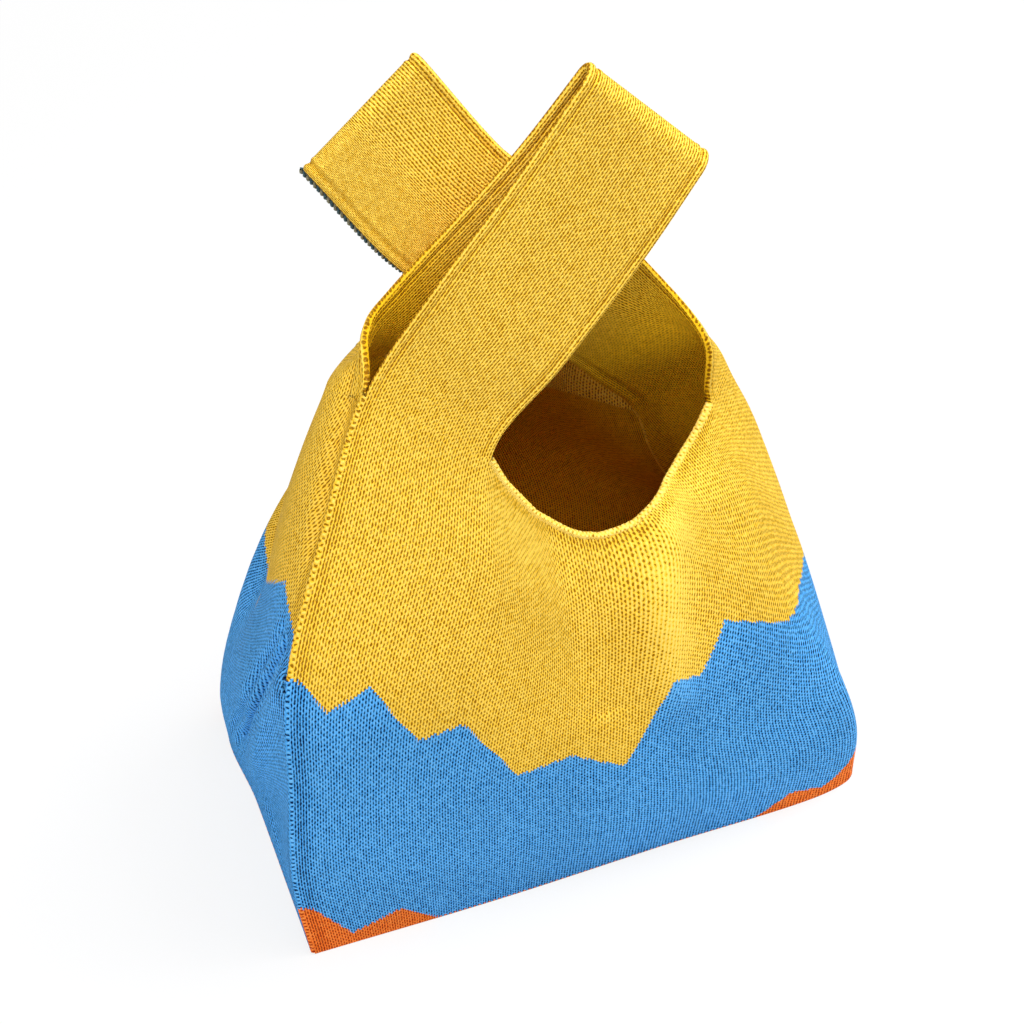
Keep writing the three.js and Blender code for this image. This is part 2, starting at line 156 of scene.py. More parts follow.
SHARED_YELLOW_START: list[tuple[float, float]] = [
    (0, 0.6), (0.05, 0.6), (0.18, 0.55), (0.37, 0.6), (0.59, 0.5), (0.81, 0.535),
    (1.08, 0.415), (1.41, 0.47), (1.74, 0.415), (2.14, 0.645), (2.33, 0.615), (2.67, 0.705),
    (3.1, 0.61), (4.57, 0.525),
]

YELLOW_START_SHARE: dict[str, list[tuple[float, float]]] = {
    "front_piece": [
        *SHARED_YELLOW_START, (4.8, 0.49), (5.2, 0.54), (5.7, 0.69), (6.1, 0.62), (6.5, 0.69), (7, 0.66),
    ],
    "back_piece": [
        *SHARED_YELLOW_START, (4.95, 0.67), (5.2, 0.62), (6.4, 0.695), (6.53, 0.68), (7, 0.66),
    ],
}

ORANGE_END_SHARE: list[tuple[float, float]] = [
    (0, 0.135), (0.05, 0.13), (0.21, 0.03), (0.47, 0.065), (0.66, 0),
    (2.5, 0), (2.68, 0.07), (2.9, 0.04), (3.43, 0.125), (3.9, 0), (7, 0),
]

TOP_WALE_PITCHES: list[tuple[float, float]] = [
    (0, 0.0019), (0.98, 0.0019), (1.02, 0.0011), (1.45, 0.0011), (1.6, 0.0030), (2.65, 0.0030), (2.8, 0.0014),
    (3.3, 0.0014), (3.5, 0.0021), (4.98, 0.0021), (5.02, 0.0019), (7, 0.0019),
]

LOW_WALE_STRETCH: list[tuple[float, float]] = [(0, 1), (1, 1), (1.6, 1.2), (3, 1.36), (7, 1.36)]


class Edge(Enum):
    """The two edges of a strap."""

    ARMHOLE = 0
    NECK = 1


@dataclass(frozen=True)
class BagSizes:
    """Driving sizes of the standing bag and its knit, in metres."""

    width: float = 0.220
    depth: float = 0.124
    height: float = 0.320
    knit: float = 0.0024
    strap: float = 0.0515
    wale: float = 0.0020
    course: float = 0.0017
    seam_roll: float = 0.0026
    bound_edge: float = 0.0032
    twisted_rim: float = 0.0022

    def place(self, share: Place) -> np.ndarray:
        """A place given in shares of half the width, half the depth and the height.

        Args:
            share: The three shares.

        Returns:
            The place in metres.
        """
        return np.array(share) * (self.width / 2, self.depth / 2, self.height)


SIZES = BagSizes()
MILLIMETRE = 0.001


def run_through(places: np.ndarray, at: np.ndarray) -> np.ndarray:
    """Points on the smooth line that passes places[0], places[1] and so on at 0, 1 and so on.

    Args:
        places: Places along the first axis; each may be a point or an array of points.
        at: Where on the line each wanted point lies.

    Returns:
        The points, one for each value of at.
    """
    last = len(places) - 1
    at = np.clip(np.asarray(at, float), 0, last)
    first = np.minimum(at.astype(int), last - 1)
    way = (at - first).reshape(-1, *[1] * (places.ndim - 1))
    before, after = 2 * places[0] - places[1], 2 * places[-1] - places[-2]
    line = np.concatenate([before[None], places, after[None]])
    p0, p1, p2, p3 = (line[first + step] for step in range(4))
    leaving, arriving = (p2 - p0) / 2, (p3 - p1) / 2
    cubic = 2 * p1 - 2 * p2 + leaving + arriving
    square = 3 * p2 - 3 * p1 - 2 * leaving - arriving
    return ((cubic * way + square) * way + leaving) * way + p1


def smooth_step(value: np.ndarray, start: float, end: float) -> np.ndarray:
    """0 before start, 1 after end, and a smooth rise between them."""
    way = np.clip((np.asarray(value, float) - start) / (end - start), 0, 1)
    return way * way * (3 - 2 * way)


def unit(vectors: np.ndarray) -> np.ndarray:
    """The vectors along the last axis, each made one long."""
    return vectors / np.maximum(np.linalg.norm(vectors, axis=-1, keepdims=True), 1e-12)


def grid_normals(points: Grid) -> Grid:
    """The directions square to a grid of points, to the left of its rows seen from its front.

    Args:
        points: Rows of points, each row running across the sheet.

    Returns:
        One direction for each point.
    """
    along = np.gradient(points, axis=0)
    across = np.gradient(points, axis=1)
    return unit(np.cross(across, along))


def strap_edge(strap: str, edge: Edge) -> np.ndarray:
    """The places of one edge of a strap, at the strap's own width beyond the body.

    Args:
        strap: The strap's name.
        edge: Which of its edges.

    Returns:
        One place for each station.
    """
    places = []
    for station, pair in enumerate(STRAP_PLACES_SHARE[strap]):
        arm, neck = (SIZES.place(share) for share in pair)
        if station > 0:
            half = unit(neck - arm) * SIZES.strap / 2
            arm, neck = (arm + neck) / 2 - half, (arm + neck) / 2 + half
        places.append(neck if edge is Edge.NECK else arm)
    return np.array(places)


def wale_places(wale: str) -> np.ndarray:
    """The places of a wale from the base to its top."""
    return np.array([SIZES.place(share) for share in WALE_PLACES_SHARE[wale]])


def wale_and_beyond(wale: str) -> np.ndarray:
    """The places of a wale, carried on into the first strap edge that grows from it."""
    for strap, wales in STRAP_WALES.items():
        if wale in wales:
            beyond = strap_edge(strap, Edge(wales.index(wale)))[1:]
            return np.concatenate([wale_places(wale), beyond])
    return wale_places(wale)


@dataclass(frozen=True)
class Strip:
    """A ridge, or a groove where its height is below zero, that runs beside a fold's line."""

    beside: float
    height: float
    half_width: float

    def rise(self, beside: np.ndarray) -> np.ndarray:
        """The strip's height at each distance beside the line."""
        return self.height * np.exp(-(((beside - self.beside) / self.half_width) ** 2))


@dataclass(frozen=True)
class Fold:
    """Ridges and grooves side by side along a line on a knitted piece.

    The line is given in wale numbers and shares of the height, and the strips beside it in metres.
    """

    path: tuple[tuple[float, float], ...]
    strips: tuple[Strip, ...]
    tapers: tuple[float, float] = (0.2, 0.2)
    samples: int = 120

    def height(self, piece: "KnittedPiece", points: Grid, u: Grid, v: Grid) -> Grid:
        """How far the fold lifts each point.

        Args:
            piece: The knitted piece.
            points: The piece's points.
            u: Their wale numbers.
            v: Their shares of the height.

        Returns:
            The heights in metres, below zero in a groove.
        """
        stations = np.array(self.path)
        path = run_through(stations, np.linspace(0, len(stations) - 1, self.samples))
        each = np.arange(self.samples)
        line = piece.plain(path[:, 0], path[:, 1])[each, each]
        flat = points.reshape(-1, 3)
        apart = (flat**2).sum(axis=1)[:, None] + (line**2).sum(axis=1)[None] - 2 * flat @ line.T
        near = apart.argmin(axis=1)
        ahead = unit(np.gradient(line, axis=0))[near]
        away = flat - line[near]
        away = away - (away * ahead).sum(axis=1, keepdims=True) * ahead
        turn = np.gradient(path, axis=0)[near]
        beyond_u, beyond_v = u.ravel() - path[near, 0], v.ravel() - path[near, 1]
        side = np.sign(turn[:, 0] * beyond_v - turn[:, 1] * beyond_u)
        beside = np.linalg.norm(away, axis=1) * side
        along = near / (self.samples - 1)
        starting, ending = self.tapers
        level = smooth_step(along, -1e-6, starting) * (1 - smooth_step(along, 1 - ending, 1 + 1e-6))
        lift = sum(strip.rise(beside) for strip in self.strips)
        return (lift * level).reshape(u.shape)


@dataclass(frozen=True)
class KnittedPiece:
    """One of the two equal knitted pieces: a surface over wale numbers and shares of its height."""

    name: str
    wales: tuple[str, ...]
    folds: tuple[Fold, ...] = ()
    neck_drop: tuple[tuple[float, float], ...] = ((0, 0), (7, 0))
    top: int = 5
    marks_at_share: float = 0.25
    marks_steps: int = 1200
    fine_rows: int = 320
    reach: float = 0.02

    @property
    def last(self) -> int:
        """The number of the piece's last wale line."""
        return len(self.wales) - 1

    def plain(self, u: np.ndarray, v: np.ndarray) -> Grid:
        """The middle surface of the knit before its folds, one row of points for each share v."""
        lines = np.array([run_through(wale_and_beyond(w), np.asarray(v) * self.top) for w in self.wales])
        return run_through(lines, u).transpose(1, 0, 2)

    def points(self, u: np.ndarray, v: np.ndarray) -> Grid:
        """The middle surface of the knit.

        Args:
            u: Wale numbers across the piece.
            v: Shares of the way up to its top edge.

        Returns:
            One row of points for each share.
        """
        u = np.asarray(u, float)
        share = np.asarray(v, float)[:, None] * (1 - np.interp(u, *zip(*self.neck_drop)))[None]
        fine = np.linspace(0, 1, self.fine_rows)
        plain, before, after = (self.plain(u + step, fine) for step in (0, -self.reach, self.reach))
        facing = unit(np.cross(after - before, np.gradient(plain, axis=0)))
        at = share * (self.fine_rows - 1)
        row = np.minimum(at.astype(int), self.fine_rows - 2)
        way, column = (at - row)[..., None], np.arange(len(u))[None]
        plain, facing = (g[row, column] * (1 - way) + g[row + 1, column] * way for g in (plain, facing))
        wale = np.broadcast_to(u, share.shape)
        for fold in self.folds:
            plain = plain + facing * fold.height(self, plain, wale, share)[..., None]
        return plain

    def marks(self) -> np.ndarray:
        """The wale numbers at which the piece's stitches stand, evenly spaced low on the bag."""
        u = np.linspace(0, self.last, self.marks_steps)
        line = self.plain(u, np.array([self.marks_at_share]))[0]
        length = np.concatenate([[0], np.cumsum(np.linalg.norm(np.diff(line, axis=0), axis=1))])
        middle = (u[:-1] + u[1:]) / 2
        stitch = SIZES.wale * np.interp(middle, *zip(*LOW_WALE_STRETCH))
        count = np.concatenate([[0], np.cumsum(np.diff(length) / stitch)])
        return np.interp(np.linspace(0, count[-1], round(count[-1]) + 1), count, u)

    def top_counts(self, u: np.ndarray) -> np.ndarray:
        """The wale counts along the top edge."""
        fine = np.linspace(0, self.last, self.marks_steps)
        line = self.plain(fine, np.array([1.0]))[0]
        step = np.linalg.norm(np.diff(line, axis=0), axis=1)
        pitch = np.interp((fine[:-1] + fine[1:]) / 2, *zip(*TOP_WALE_PITCHES))
        return np.interp(u, fine, np.concatenate([[0], np.cumsum(step / pitch)]))

    def courses(self) -> float:
        """The number of courses from the base to the top edge."""
        middle = self.plain(np.linspace(0, self.last, 40), np.linspace(0, 1, 80))
        return float(np.linalg.norm(np.diff(middle, axis=0), axis=2).sum(axis=0).mean() / SIZES.course)

    def changes(self, u: np.ndarray) -> np.ndarray:
        """The course numbers at which the yarn turns from orange to blue and from blue to yellow."""
        tables = (ORANGE_END_SHARE, YELLOW_START_SHARE[self.name])
        return np.column_stack([np.interp(u, *zip(*table)) for table in tables]) * self.courses()


FRONT_RIDGE = Fold(
    path=(
        (3.5, 1.0), (3.08, 0.972), (2.63, 0.904), (2.34, 0.818),
        (2.16, 0.68), (2.11, 0.57), (1.98, 0.462),
    ),
    strips=(Strip(0, 0.0046, 0.009), Strip(-0.022, -0.0020, 0.010), Strip(0.024, -0.0016, 0.011)),
    tapers=(0.3, 0.3),
)
LEFT_WALL_FOLD = Fold(
    path=((6.78, 0.65), (6.55, 0.612), (5.79, 0.48), (5.38, 0.37), (4.81, 0.198), (4.6, 0.08)),
    strips=(
        Strip(0, -0.0050, 0.0024), Strip(0.0052, -0.0022, 0.0018), Strip(-0.0054, -0.0020, 0.0018),
        Strip(0.0100, -0.0012, 0.0018), Strip(0.013, 0.0030, 0.006), Strip(0.034, -0.0030, 0.014),
    ),
    tapers=(0.2, 0.3),
    samples=240,
)
SEAM_VALLEY = Fold(
    path=((6.72, 1.0), (6.78, 0.9), (6.82, 0.8), (6.88, 0.7)),
    strips=(Strip(0, -0.0024, 0.0035),),
    tapers=(0.01, 0.35),
)
FRONT_PIECE = KnittedPiece(
    "front_piece",
    (
        "front_left_crease", "front_left_neck", "front_middle", "front_right_turn",
        "right_front_turn", "right_neck", "right_flank", "back_right_crease",
    ),
    (FRONT_RIDGE,),
    (
        (0, 0), (1, 0), (1.15, 0.022), (1.4, 0.036), (1.7, 0.022), (2.0, 0.004),
        (2.3, 0.006), (2.6, 0.016), (2.9, 0.014), (3.3, 0.004), (3.8, 0), (7, 0),
    ),
)
BACK_PIECE = KnittedPiece(
    "back_piece",
    (
        "back_right_crease", "back_right_neck", "back_middle", "back_left_turn",
        "left_back_turn", "left_neck", "left_flank", "front_left_crease",
    ),
    (LEFT_WALL_FOLD, SEAM_VALLEY),
)


@dataclass(frozen=True)
class Strap:
    """One strap: a surface from its armhole edge to its neck edge and from the body to the fold."""

    name: str
    piece: KnittedPiece
    bow_reach: float = 0.5

    @property
    def wale_numbers(self) -> tuple[int, int]:
        """The wale numbers of the armhole edge and the neck edge on the piece."""
        arm, neck = STRAP_WALES[self.name]
        return self.piece.wales.index(arm), self.piece.wales.index(neck)

    def points(self, u: np.ndarray, v: np.ndarray) -> Grid:
        """The middle surface of the strap.

        Args:
            u: Shares across, from the armhole edge to the neck edge.
            v: Shares of the way from the body to the fold.

        Returns:
            One row of points for each share v.
        """
        u, v = np.asarray(u, float), np.asarray(v, float)
        top = self.piece.top
        steps = len(STRAP_PLACES_SHARE[self.name]) - 1
        lines = (
            np.concatenate([wale_places(wale)[:-1], strap_edge(self.name, edge)])
            for wale, edge in zip(STRAP_WALES[self.name], Edge)
        )
        edges = [run_through(line, top + v * steps) for line in lines]
        flat = edges[0][:, None] + (edges[1] - edges[0])[:, None] * u[None, :, None]
        start = [strap_edge(self.name, edge)[0] for edge in Edge]
        arm, neck = self.wale_numbers
        rim = self.piece.points(arm + (neck - arm) * u, np.array([1.0]))[0]
        bow = rim - (start[0] + (start[1] - start[0]) * u[:, None])
        left = 1 - smooth_step(v, 0, self.bow_reach)
        return flat + bow[None] * left[:, None, None]


class MeshMaker:
    """Builds one named mesh object from vertices and faces."""

    def __init__(self, name: str) -> None:
        """Starts an empty mesh.

        Args:
            name: The object's name.
        """
        self.name = name
        self.points: list[np.ndarray] = []
        self.faces: list[tuple[int, ...]] = []
        self.slots: list[int] = []
        self.knit: list[np.ndarray] = []
        self.normals: list[np.ndarray] = []
        self.yarns: list[np.ndarray] = []
        self.count = 0

    def add_points(self, points: np.ndarray, knit: np.ndarray, normals: np.ndarray,
                   yarns: np.ndarray | float = 0.0) -> int:
        """Adds points with their stitch counts and directions.

        Args:
            points: The points.
            knit: For each, its wale count, its course count and how deep its holes are, 0 to 1.
            normals: For each, the direction straight out of the surface.
            yarns: For each, the course numbers where orange and blue end (on a handle loop the first is instead the
                share of painted shade from the darker inner yellow), and how ribbed the knit is.

        Returns:
            The number of the first new point.
        """
        first = self.count
        self.points.append(points.reshape(-1, 3))
        self.knit.append(knit.reshape(-1, 3))
        self.normals.append(normals.reshape(-1, 3))
        self.yarns.append(np.broadcast_to(yarns, points.shape).reshape(-1, 3))
        self.count += points.size // 3
        return first

    def add_face(self, corners: tuple[int, ...], slot: int = 0) -> None:
        """Adds one face with its material slot."""
        self.faces.append(corners)
        self.slots.append(slot)

    def finish(self, materials: list[bpy.types.Material]) -> bpy.types.Object:
        """Makes the object.

        Args:
            materials: The materials of its slots.

        Returns:
            The object, linked to the scene.
        """
        mesh = bpy.data.meshes.new(self.name)
        mesh.from_pydata(np.concatenate(self.points).tolist(), [], self.faces)
        for material in materials:
            mesh.materials.append(material)
        mesh.polygons.foreach_set("material_index", self.slots)
        mesh.polygons.foreach_set("use_smooth", [True] * len(self.faces))
        for name, values in (("knit", self.knit), ("yarns", self.yarns)):
            attribute = mesh.attributes.new(name, "FLOAT_VECTOR", "POINT")
            attribute.data.foreach_set("vector", np.concatenate(values).ravel())
        mesh.normals_split_custom_set_from_vertices(unit(np.concatenate(self.normals)).tolist())
        mesh.update()
        thing = bpy.data.objects.new(self.name, mesh)
        bpy.context.scene.collection.objects.link(thing)
        return thing


@dataclass
class Sheet:
    """A knitted sheet with two faces: its middle surface, half thickness and stitch counts."""

    middle: Grid
    half: np.ndarray
    knit: tuple[np.ndarray, np.ndarray, np.ndarray]
    yarns: tuple[np.ndarray | float, ...] = (0.0, 0.0, 0.0)
    normals: Grid | None = None

    def build(self, name: str, materials: list[bpy.types.Material]) -> bpy.types.Object:
        """Makes the closed mesh.

        Args:
            name: The object's name.
            materials: The outer and the inner face's materials.

        Returns:
            The object.
        """
        rows, columns = self.middle.shape[:2]
        normals = grid_normals(self.middle) if self.normals is None else self.normals
        half = np.broadcast_to(self.half, (rows, columns))[..., None]
        knit, yarns = (
            np.stack([np.broadcast_to(value, (rows, columns)) for value in values], axis=-1)
            for values in (self.knit, self.yarns))
        maker = MeshMaker(name)
        run = np.gradient(self.middle, axis=1)
        slope = np.gradient(half, axis=1) / np.maximum((run**2).sum(axis=-1, keepdims=True), 1e-12) * run
        outer = maker.add_points(self.middle + normals * half, knit, normals - slope, yarns)
        inner = maker.add_points(self.middle - normals * half, knit, -normals - slope, yarns)
        quad = lambda first, r, c: (
            first + r * columns + c, first + r * columns + c + 1,
            first + (r + 1) * columns + c + 1, first + (r + 1) * columns + c)
        for r in range(rows - 1):
            for c in range(columns - 1):
                maker.add_face(quad(outer, r, c))
                maker.add_face(quad(inner, r, c)[::-1], 1)
        rim = [(0, c) for c in range(columns - 1)] + [(r, columns - 1) for r in range(rows - 1)]
        rim += [(rows - 1, c) for c in range(columns - 1, 0, -1)] + [(r, 0) for r in range(rows - 1, 0, -1)]
        for (r0, c0), (r1, c1) in zip(rim, rim[1:] + rim[:1]):
            a, b = r0 * columns + c0, r1 * columns + c1
            maker.add_face((outer + b, outer + a, inner + a, inner + b))
        return maker.finish(materials)


class Nodes:
    """Adds shader nodes to a tree and joins them."""

    def __init__(self, tree: bpy.types.NodeTree) -> None:
        """Works on one tree.

        Args:
            tree: A material's or a group's node tree.
        """
        self.tree = tree

    def add(
        self, kind: str, inputs: dict[str | int, object] | None = None, **settings: object,
    ) -> bpy.types.Node:
        """Adds a node.

        Args:
            kind: Blender's name for the node's type.
            inputs: Values or sockets for its inputs.
            settings: Its other settings.

        Returns:
            The node.
        """
        node = self.tree.nodes.new(kind)
        for name, value in settings.items():
            setattr(node, name, value)
        for key, value in (inputs or {}).items():
            if isinstance(value, bpy.types.NodeSocket):
                self.tree.links.new(value, node.inputs[key])
            else:
                node.inputs[key].default_value = value
        return node

    def math(self, operation: str, *values: object) -> bpy.types.NodeSocket:
        """Adds a Math node and returns its result."""
        return self.add("ShaderNodeMath", dict(enumerate(values)), operation=operation).outputs[0]

    def mix(self, share: object, low: object, high: object, blend: str = "MIX") -> bpy.types.NodeSocket:
        """Adds a colour mix.

        Args:
            share: How much of high.
            low: The colour at 0.
            high: The colour at 1.
            blend: Blender's name for the way to mix.

        Returns:
            The mixed colour.
        """
        node = self.tree.nodes.new("ShaderNodeMix")
        node.data_type = "RGBA"
        node.blend_type = blend
        for socket, value in zip((node.inputs[0], node.inputs[6], node.inputs[7]), (share, low, high)):
            if isinstance(value, bpy.types.NodeSocket):
                self.tree.links.new(value, socket)
            else:
                socket.default_value = value
        return node.outputs[2]

    def spread(
        self, value: object, low: float, high: float, to_low: float = 0, to_high: float = 1,
    ) -> bpy.types.NodeSocket:
        """Maps a value smoothly from one range to another."""
        inputs = {0: value, 1: low, 2: high, 3: to_low, 4: to_high}
        node = self.add("ShaderNodeMapRange", inputs, interpolation_type="SMOOTHSTEP")
        return node.outputs[0]


def new_group(
    name: str, inputs: dict[str, str], outputs: dict[str, str],
) -> tuple[bpy.types.NodeTree, Nodes, bpy.types.Node, bpy.types.Node]:
    """Starts a shader node group.

    Args:
        name: The group's name.
        inputs: The kind of each input socket by its name.
        outputs: The kind of each output socket by its name.

    Returns:
        The group, a helper for its nodes, its input node and its output node.
    """
    tree = bpy.data.node_groups.new(name, "ShaderNodeTree")
    for direction, sockets in (("INPUT", inputs), ("OUTPUT", outputs)):
        for socket, kind in sockets.items():
            tree.interface.new_socket(socket, in_out=direction, socket_type=kind)
    nodes = Nodes(tree)
    return tree, nodes, nodes.add("NodeGroupInput"), nodes.add("NodeGroupOutput")


FLOAT, COLOUR = "NodeSocketFloat", "NodeSocketColor"


@dataclass(frozen=True)
class StitchGroup:
    """The relief of plain knit: small holes in staggered rows, one in each V and one between two Vs."""

    chance_scale: float = 620.0
    uneven: float = 0.34
    line_uneven: float = 0.3
    line_share: float = 0.8
    line_lattice_share: float = 0.32
    deepening: float = 0.35
    luck: float = 1.3
    hole_range: tuple[float, float] = (0.02, 0.80)
    crown_range: tuple[float, float] = (-0.2, -0.9)
    plain_height: float = 0.7
    crown_height: float = 0.3

    def build(self) -> bpy.types.NodeTree:
        """Makes the group that turns stitch counts into height, hole and course number."""
        tree, nodes, given, result = new_group(
            "knit_stitch",
            {"Wale": FLOAT, "Course": FLOAT, "Deepened": FLOAT, "Ribbed": FLOAT},
            {"Height": FLOAT, "Hole": FLOAT, "Row": FLOAT},
        )
        place = nodes.add("ShaderNodeTexCoord").outputs["Object"]
        noise = nodes.add("ShaderNodeTexNoise", {
            "Vector": place, "Scale": self.chance_scale, "Detail": 1.0})
        chance = nodes.add("ShaderNodeSeparateColor", {0: noise.outputs["Color"]})
        shift = [
            nodes.math("MULTIPLY", nodes.math("SUBTRACT", chance.outputs[i], 0.5), 2 * self.uneven)
            for i in (0, 1)]
        wale = nodes.math("ADD", given.outputs["Wale"], shift[0])
        course = nodes.math("ADD", given.outputs["Course"], shift[1])
        around = lambda count, turns: nodes.math(
            "COSINE", nodes.math("MULTIPLY", count, 2 * math.pi * turns))
        lattice = nodes.math("MULTIPLY", around(wale, 1), around(course, 1))
        straight = nodes.math(
            "ADD", given.outputs["Wale"], nodes.math("MULTIPLY", shift[0], self.line_uneven))
        lines = nodes.math("ADD", nodes.math("MULTIPLY", around(straight, 2), self.line_share),
                           nodes.math("MULTIPLY", lattice, self.line_lattice_share))
        ribbed = given.outputs["Ribbed"]
        plain = nodes.math("MULTIPLY", lattice, nodes.math("SUBTRACT", 1.0, ribbed))
        pattern = nodes.math("ADD", plain, nodes.math("MULTIPLY", lines, ribbed))
        deeper = nodes.math("MULTIPLY", given.outputs["Deepened"], self.deepening)
        pattern = nodes.math("ADD", pattern, deeper)
        luck = nodes.math("MULTIPLY", nodes.math("SUBTRACT", chance.outputs[2], 0.5), self.luck)
        pattern = nodes.math("ADD", pattern, luck)
        hole = nodes.spread(pattern, *self.hole_range)
        crown = nodes.spread(pattern, *self.crown_range)
        raised = nodes.math("MULTIPLY", crown, self.crown_height)
        height = nodes.math("SUBTRACT", nodes.math("ADD", self.plain_height, raised), hole)
        leg = nodes.math("GREATER_THAN", nodes.math("FRACT", given.outputs["Wale"]), 0.5)
        half = nodes.math("MULTIPLY", leg, 0.5)
        row = nodes.math("FLOOR", nodes.math("ADD", given.outputs["Course"], half))
        row = nodes.math("ADD", nodes.math("SUBTRACT", row, half), 0.5)
        for name, value in (("Height", height), ("Hole", hole), ("Row", row)):
            tree.links.new(value, result.inputs[name])
        return tree


@dataclass(frozen=True)
class YarnToneAndPaintedLightGroup:
    """The tones of one yarn: painted shade in the holes, painted highlight on the crowns, with slow drifts and fine
    fuzz.
    """

    drift_scale: float = 20.0
    fuzz_scale: float = 1500.0
    crown_range: tuple[float, float, float, float] = (0.6, 1.0, 0.0, 0.7)
    fuzz_range: tuple[float, float, float, float] = (0.5, 0.75, 0.0, 0.35)
    drift_range: tuple[float, float, float, float] = (0.3, 0.7, 0.94, 1.05)

    def build(self) -> bpy.types.NodeTree:
        """Makes the group that paints shade and highlight into a yarn's colour by its relief."""
        tree, nodes, given, result = new_group(
            "yarn_tone_and_painted_light",
            {"Colour": COLOUR, "Shade": COLOUR, "Light": COLOUR, "Height": FLOAT, "Hole": FLOAT},
            {"Colour": COLOUR},
        )
        place = nodes.add("ShaderNodeTexCoord").outputs["Object"]
        drift = nodes.add("ShaderNodeTexNoise", {"Vector": place, "Scale": self.drift_scale, "Detail": 3.0})
        fuzz = nodes.add("ShaderNodeTexNoise", {"Vector": place, "Scale": self.fuzz_scale, "Detail": 2.0})
        crown = nodes.spread(given.outputs["Height"], *self.crown_range)
        # painted highlight: the lighter colour on the raised crowns
        lit = nodes.mix(crown, given.outputs["Colour"], given.outputs["Light"])
        # painted shade: the darker colour in the holes between stitches
        holed = nodes.mix(given.outputs["Hole"], lit, given.outputs["Shade"])
        fibres = nodes.spread(fuzz.outputs["Fac"], *self.fuzz_range)
        fuzzed = nodes.mix(fibres, holed, given.outputs["Light"])
        level = nodes.spread(drift.outputs["Fac"], *self.drift_range)
        grey = nodes.add("ShaderNodeCombineColor", {0: level, 1: level, 2: level}).outputs[0]
        tree.links.new(nodes.mix(1.0, fuzzed, grey, "MULTIPLY"), result.inputs["Colour"])
        return tree


@dataclass(frozen=True)
class Yarn:
    """A yarn's colour, the painted shade deep in the holes and the painted highlight on the crowns of the stitches.
    """

    colour: Colour
    shade: Colour
    light: Colour


def srgb(code: int) -> Colour:
    """A colour written as 0xrrggbb, as the linear light values that shaders take."""
    parts = [((code >> shift) & 255) / 255 for shift in (16, 8, 0)]
    linear = [p / 12.92 if p <= 0.04045 else ((p + 0.055) / 1.055) ** 2.4 for p in parts]
    return (*linear, 1.0)


# Each yarn: its colour, the painted shade in its holes and the painted highlight on its crowns.
YELLOW = Yarn(srgb(0xFFC82E), srgb(0x986404), srgb(0xFFE070))
BLUE = Yarn(srgb(0x42A2F0), srgb(0x001844), srgb(0x80CAFC))
ORANGE = Yarn(srgb(0xFF7420), srgb(0xA03004), srgb(0xFFA050))
# Inner faces: all yellow, as the yarn carried inside; this yellow is darker and more saturated, with almost no
# lighter crowns, as painted shade and warm bounced light inside the bag.
SHADED_INSIDE_YELLOW = Yarn(srgb(0xF8BE12), srgb(0x8A5802), srgb(0xFBC92C))
# Bound-off lip: a lighter copy of the yellow, a painted highlight along the rim.
LIT_EDGE_YELLOW = Yarn(srgb(0xFFCE44), srgb(0xB07C10), srgb(0xFFE284))


@dataclass(frozen=True)
class KnitFinish:
    """Plain knit in one yarn, or in three that change at the limits kept on each stitch."""

    name: str
    stitch: bpy.types.NodeTree
    tone: bpy.types.NodeTree
    zoned: bool = False
    yarn: Yarn = YELLOW
    # a darker inner yarn, painted shade, mixed in by the first yarns value
    inner: Yarn | None = None
    relief: float = 0.0006
    relief_strength: float = 0.7
    roughness: float = 0.9
    specular: float = 0.08

    def zone_colour(
        self, nodes: Nodes, row: bpy.types.NodeSocket, yarns: bpy.types.Node, part: str,
    ) -> object:
        """The yarn of each stitch by its course number.

        Args:
            nodes: The material's nodes.
            row: The stitch's course number.
            yarns: The node that gives the course numbers where orange and blue end.
            part: Which of the yarn's colours, "colour", "shade" or "light".

        Returns:
            A colour socket, or the one yarn's colour.
        """
        # painted shade: the face turns to the darker inner yellow by the share kept in the first yarns value
        if self.inner:
            return nodes.mix(yarns.outputs[0], getattr(self.yarn, part), getattr(self.inner, part))
        if not self.zoned:
            return getattr(self.yarn, part)
        is_blue, is_yellow = (nodes.math("GREATER_THAN", row, yarns.outputs[i]) for i in (0, 1))
        lower = nodes.mix(is_blue, getattr(ORANGE, part), getattr(BLUE, part))
        return nodes.mix(is_yellow, lower, getattr(YELLOW, part))

    def build(self) -> bpy.types.Material:
        """Makes the material."""
        material = bpy.data.materials.new(self.name)
        material.use_nodes = True
        material.node_tree.nodes.clear()
        nodes = Nodes(material.node_tree)
        knit, threads = (
            nodes.add("ShaderNodeAttribute", attribute_name=name).outputs["Vector"]
            for name in ("knit", "yarns"))
        counts, yarns = (nodes.add("ShaderNodeSeparateXYZ", {0: vector}) for vector in (knit, threads))
        stitch = nodes.add("ShaderNodeGroup", node_tree=self.stitch)
        for i, socket in enumerate(("Wale", "Course", "Deepened")):
            material.node_tree.links.new(counts.outputs[i], stitch.inputs[socket])
        material.node_tree.links.new(yarns.outputs[2], stitch.inputs["Ribbed"])
        tone = nodes.add("ShaderNodeGroup", node_tree=self.tone)
        for socket, value in (
            ("Colour", self.zone_colour(nodes, stitch.outputs["Row"], yarns, "colour")),
            ("Shade", self.zone_colour(nodes, stitch.outputs["Row"], yarns, "shade")),
            ("Light", self.zone_colour(nodes, stitch.outputs["Row"], yarns, "light")),
            ("Height", stitch.outputs["Height"]),
            ("Hole", stitch.outputs["Hole"]),
        ):
            if isinstance(value, bpy.types.NodeSocket):
                material.node_tree.links.new(value, tone.inputs[socket])
            else:
                tone.inputs[socket].default_value = value
        bump = nodes.add("ShaderNodeBump", {
            "Height": stitch.outputs["Height"], "Distance": self.relief, "Strength": self.relief_strength})
        shader = nodes.add("ShaderNodeBsdfPrincipled", {
            "Base Color": tone.outputs["Colour"],
            "Roughness": self.roughness,
            "Specular IOR Level": self.specular,
            "Normal": bump.outputs["Normal"],
        })
        nodes.add("ShaderNodeOutputMaterial", {"Surface": shader.outputs[0]})
        return material


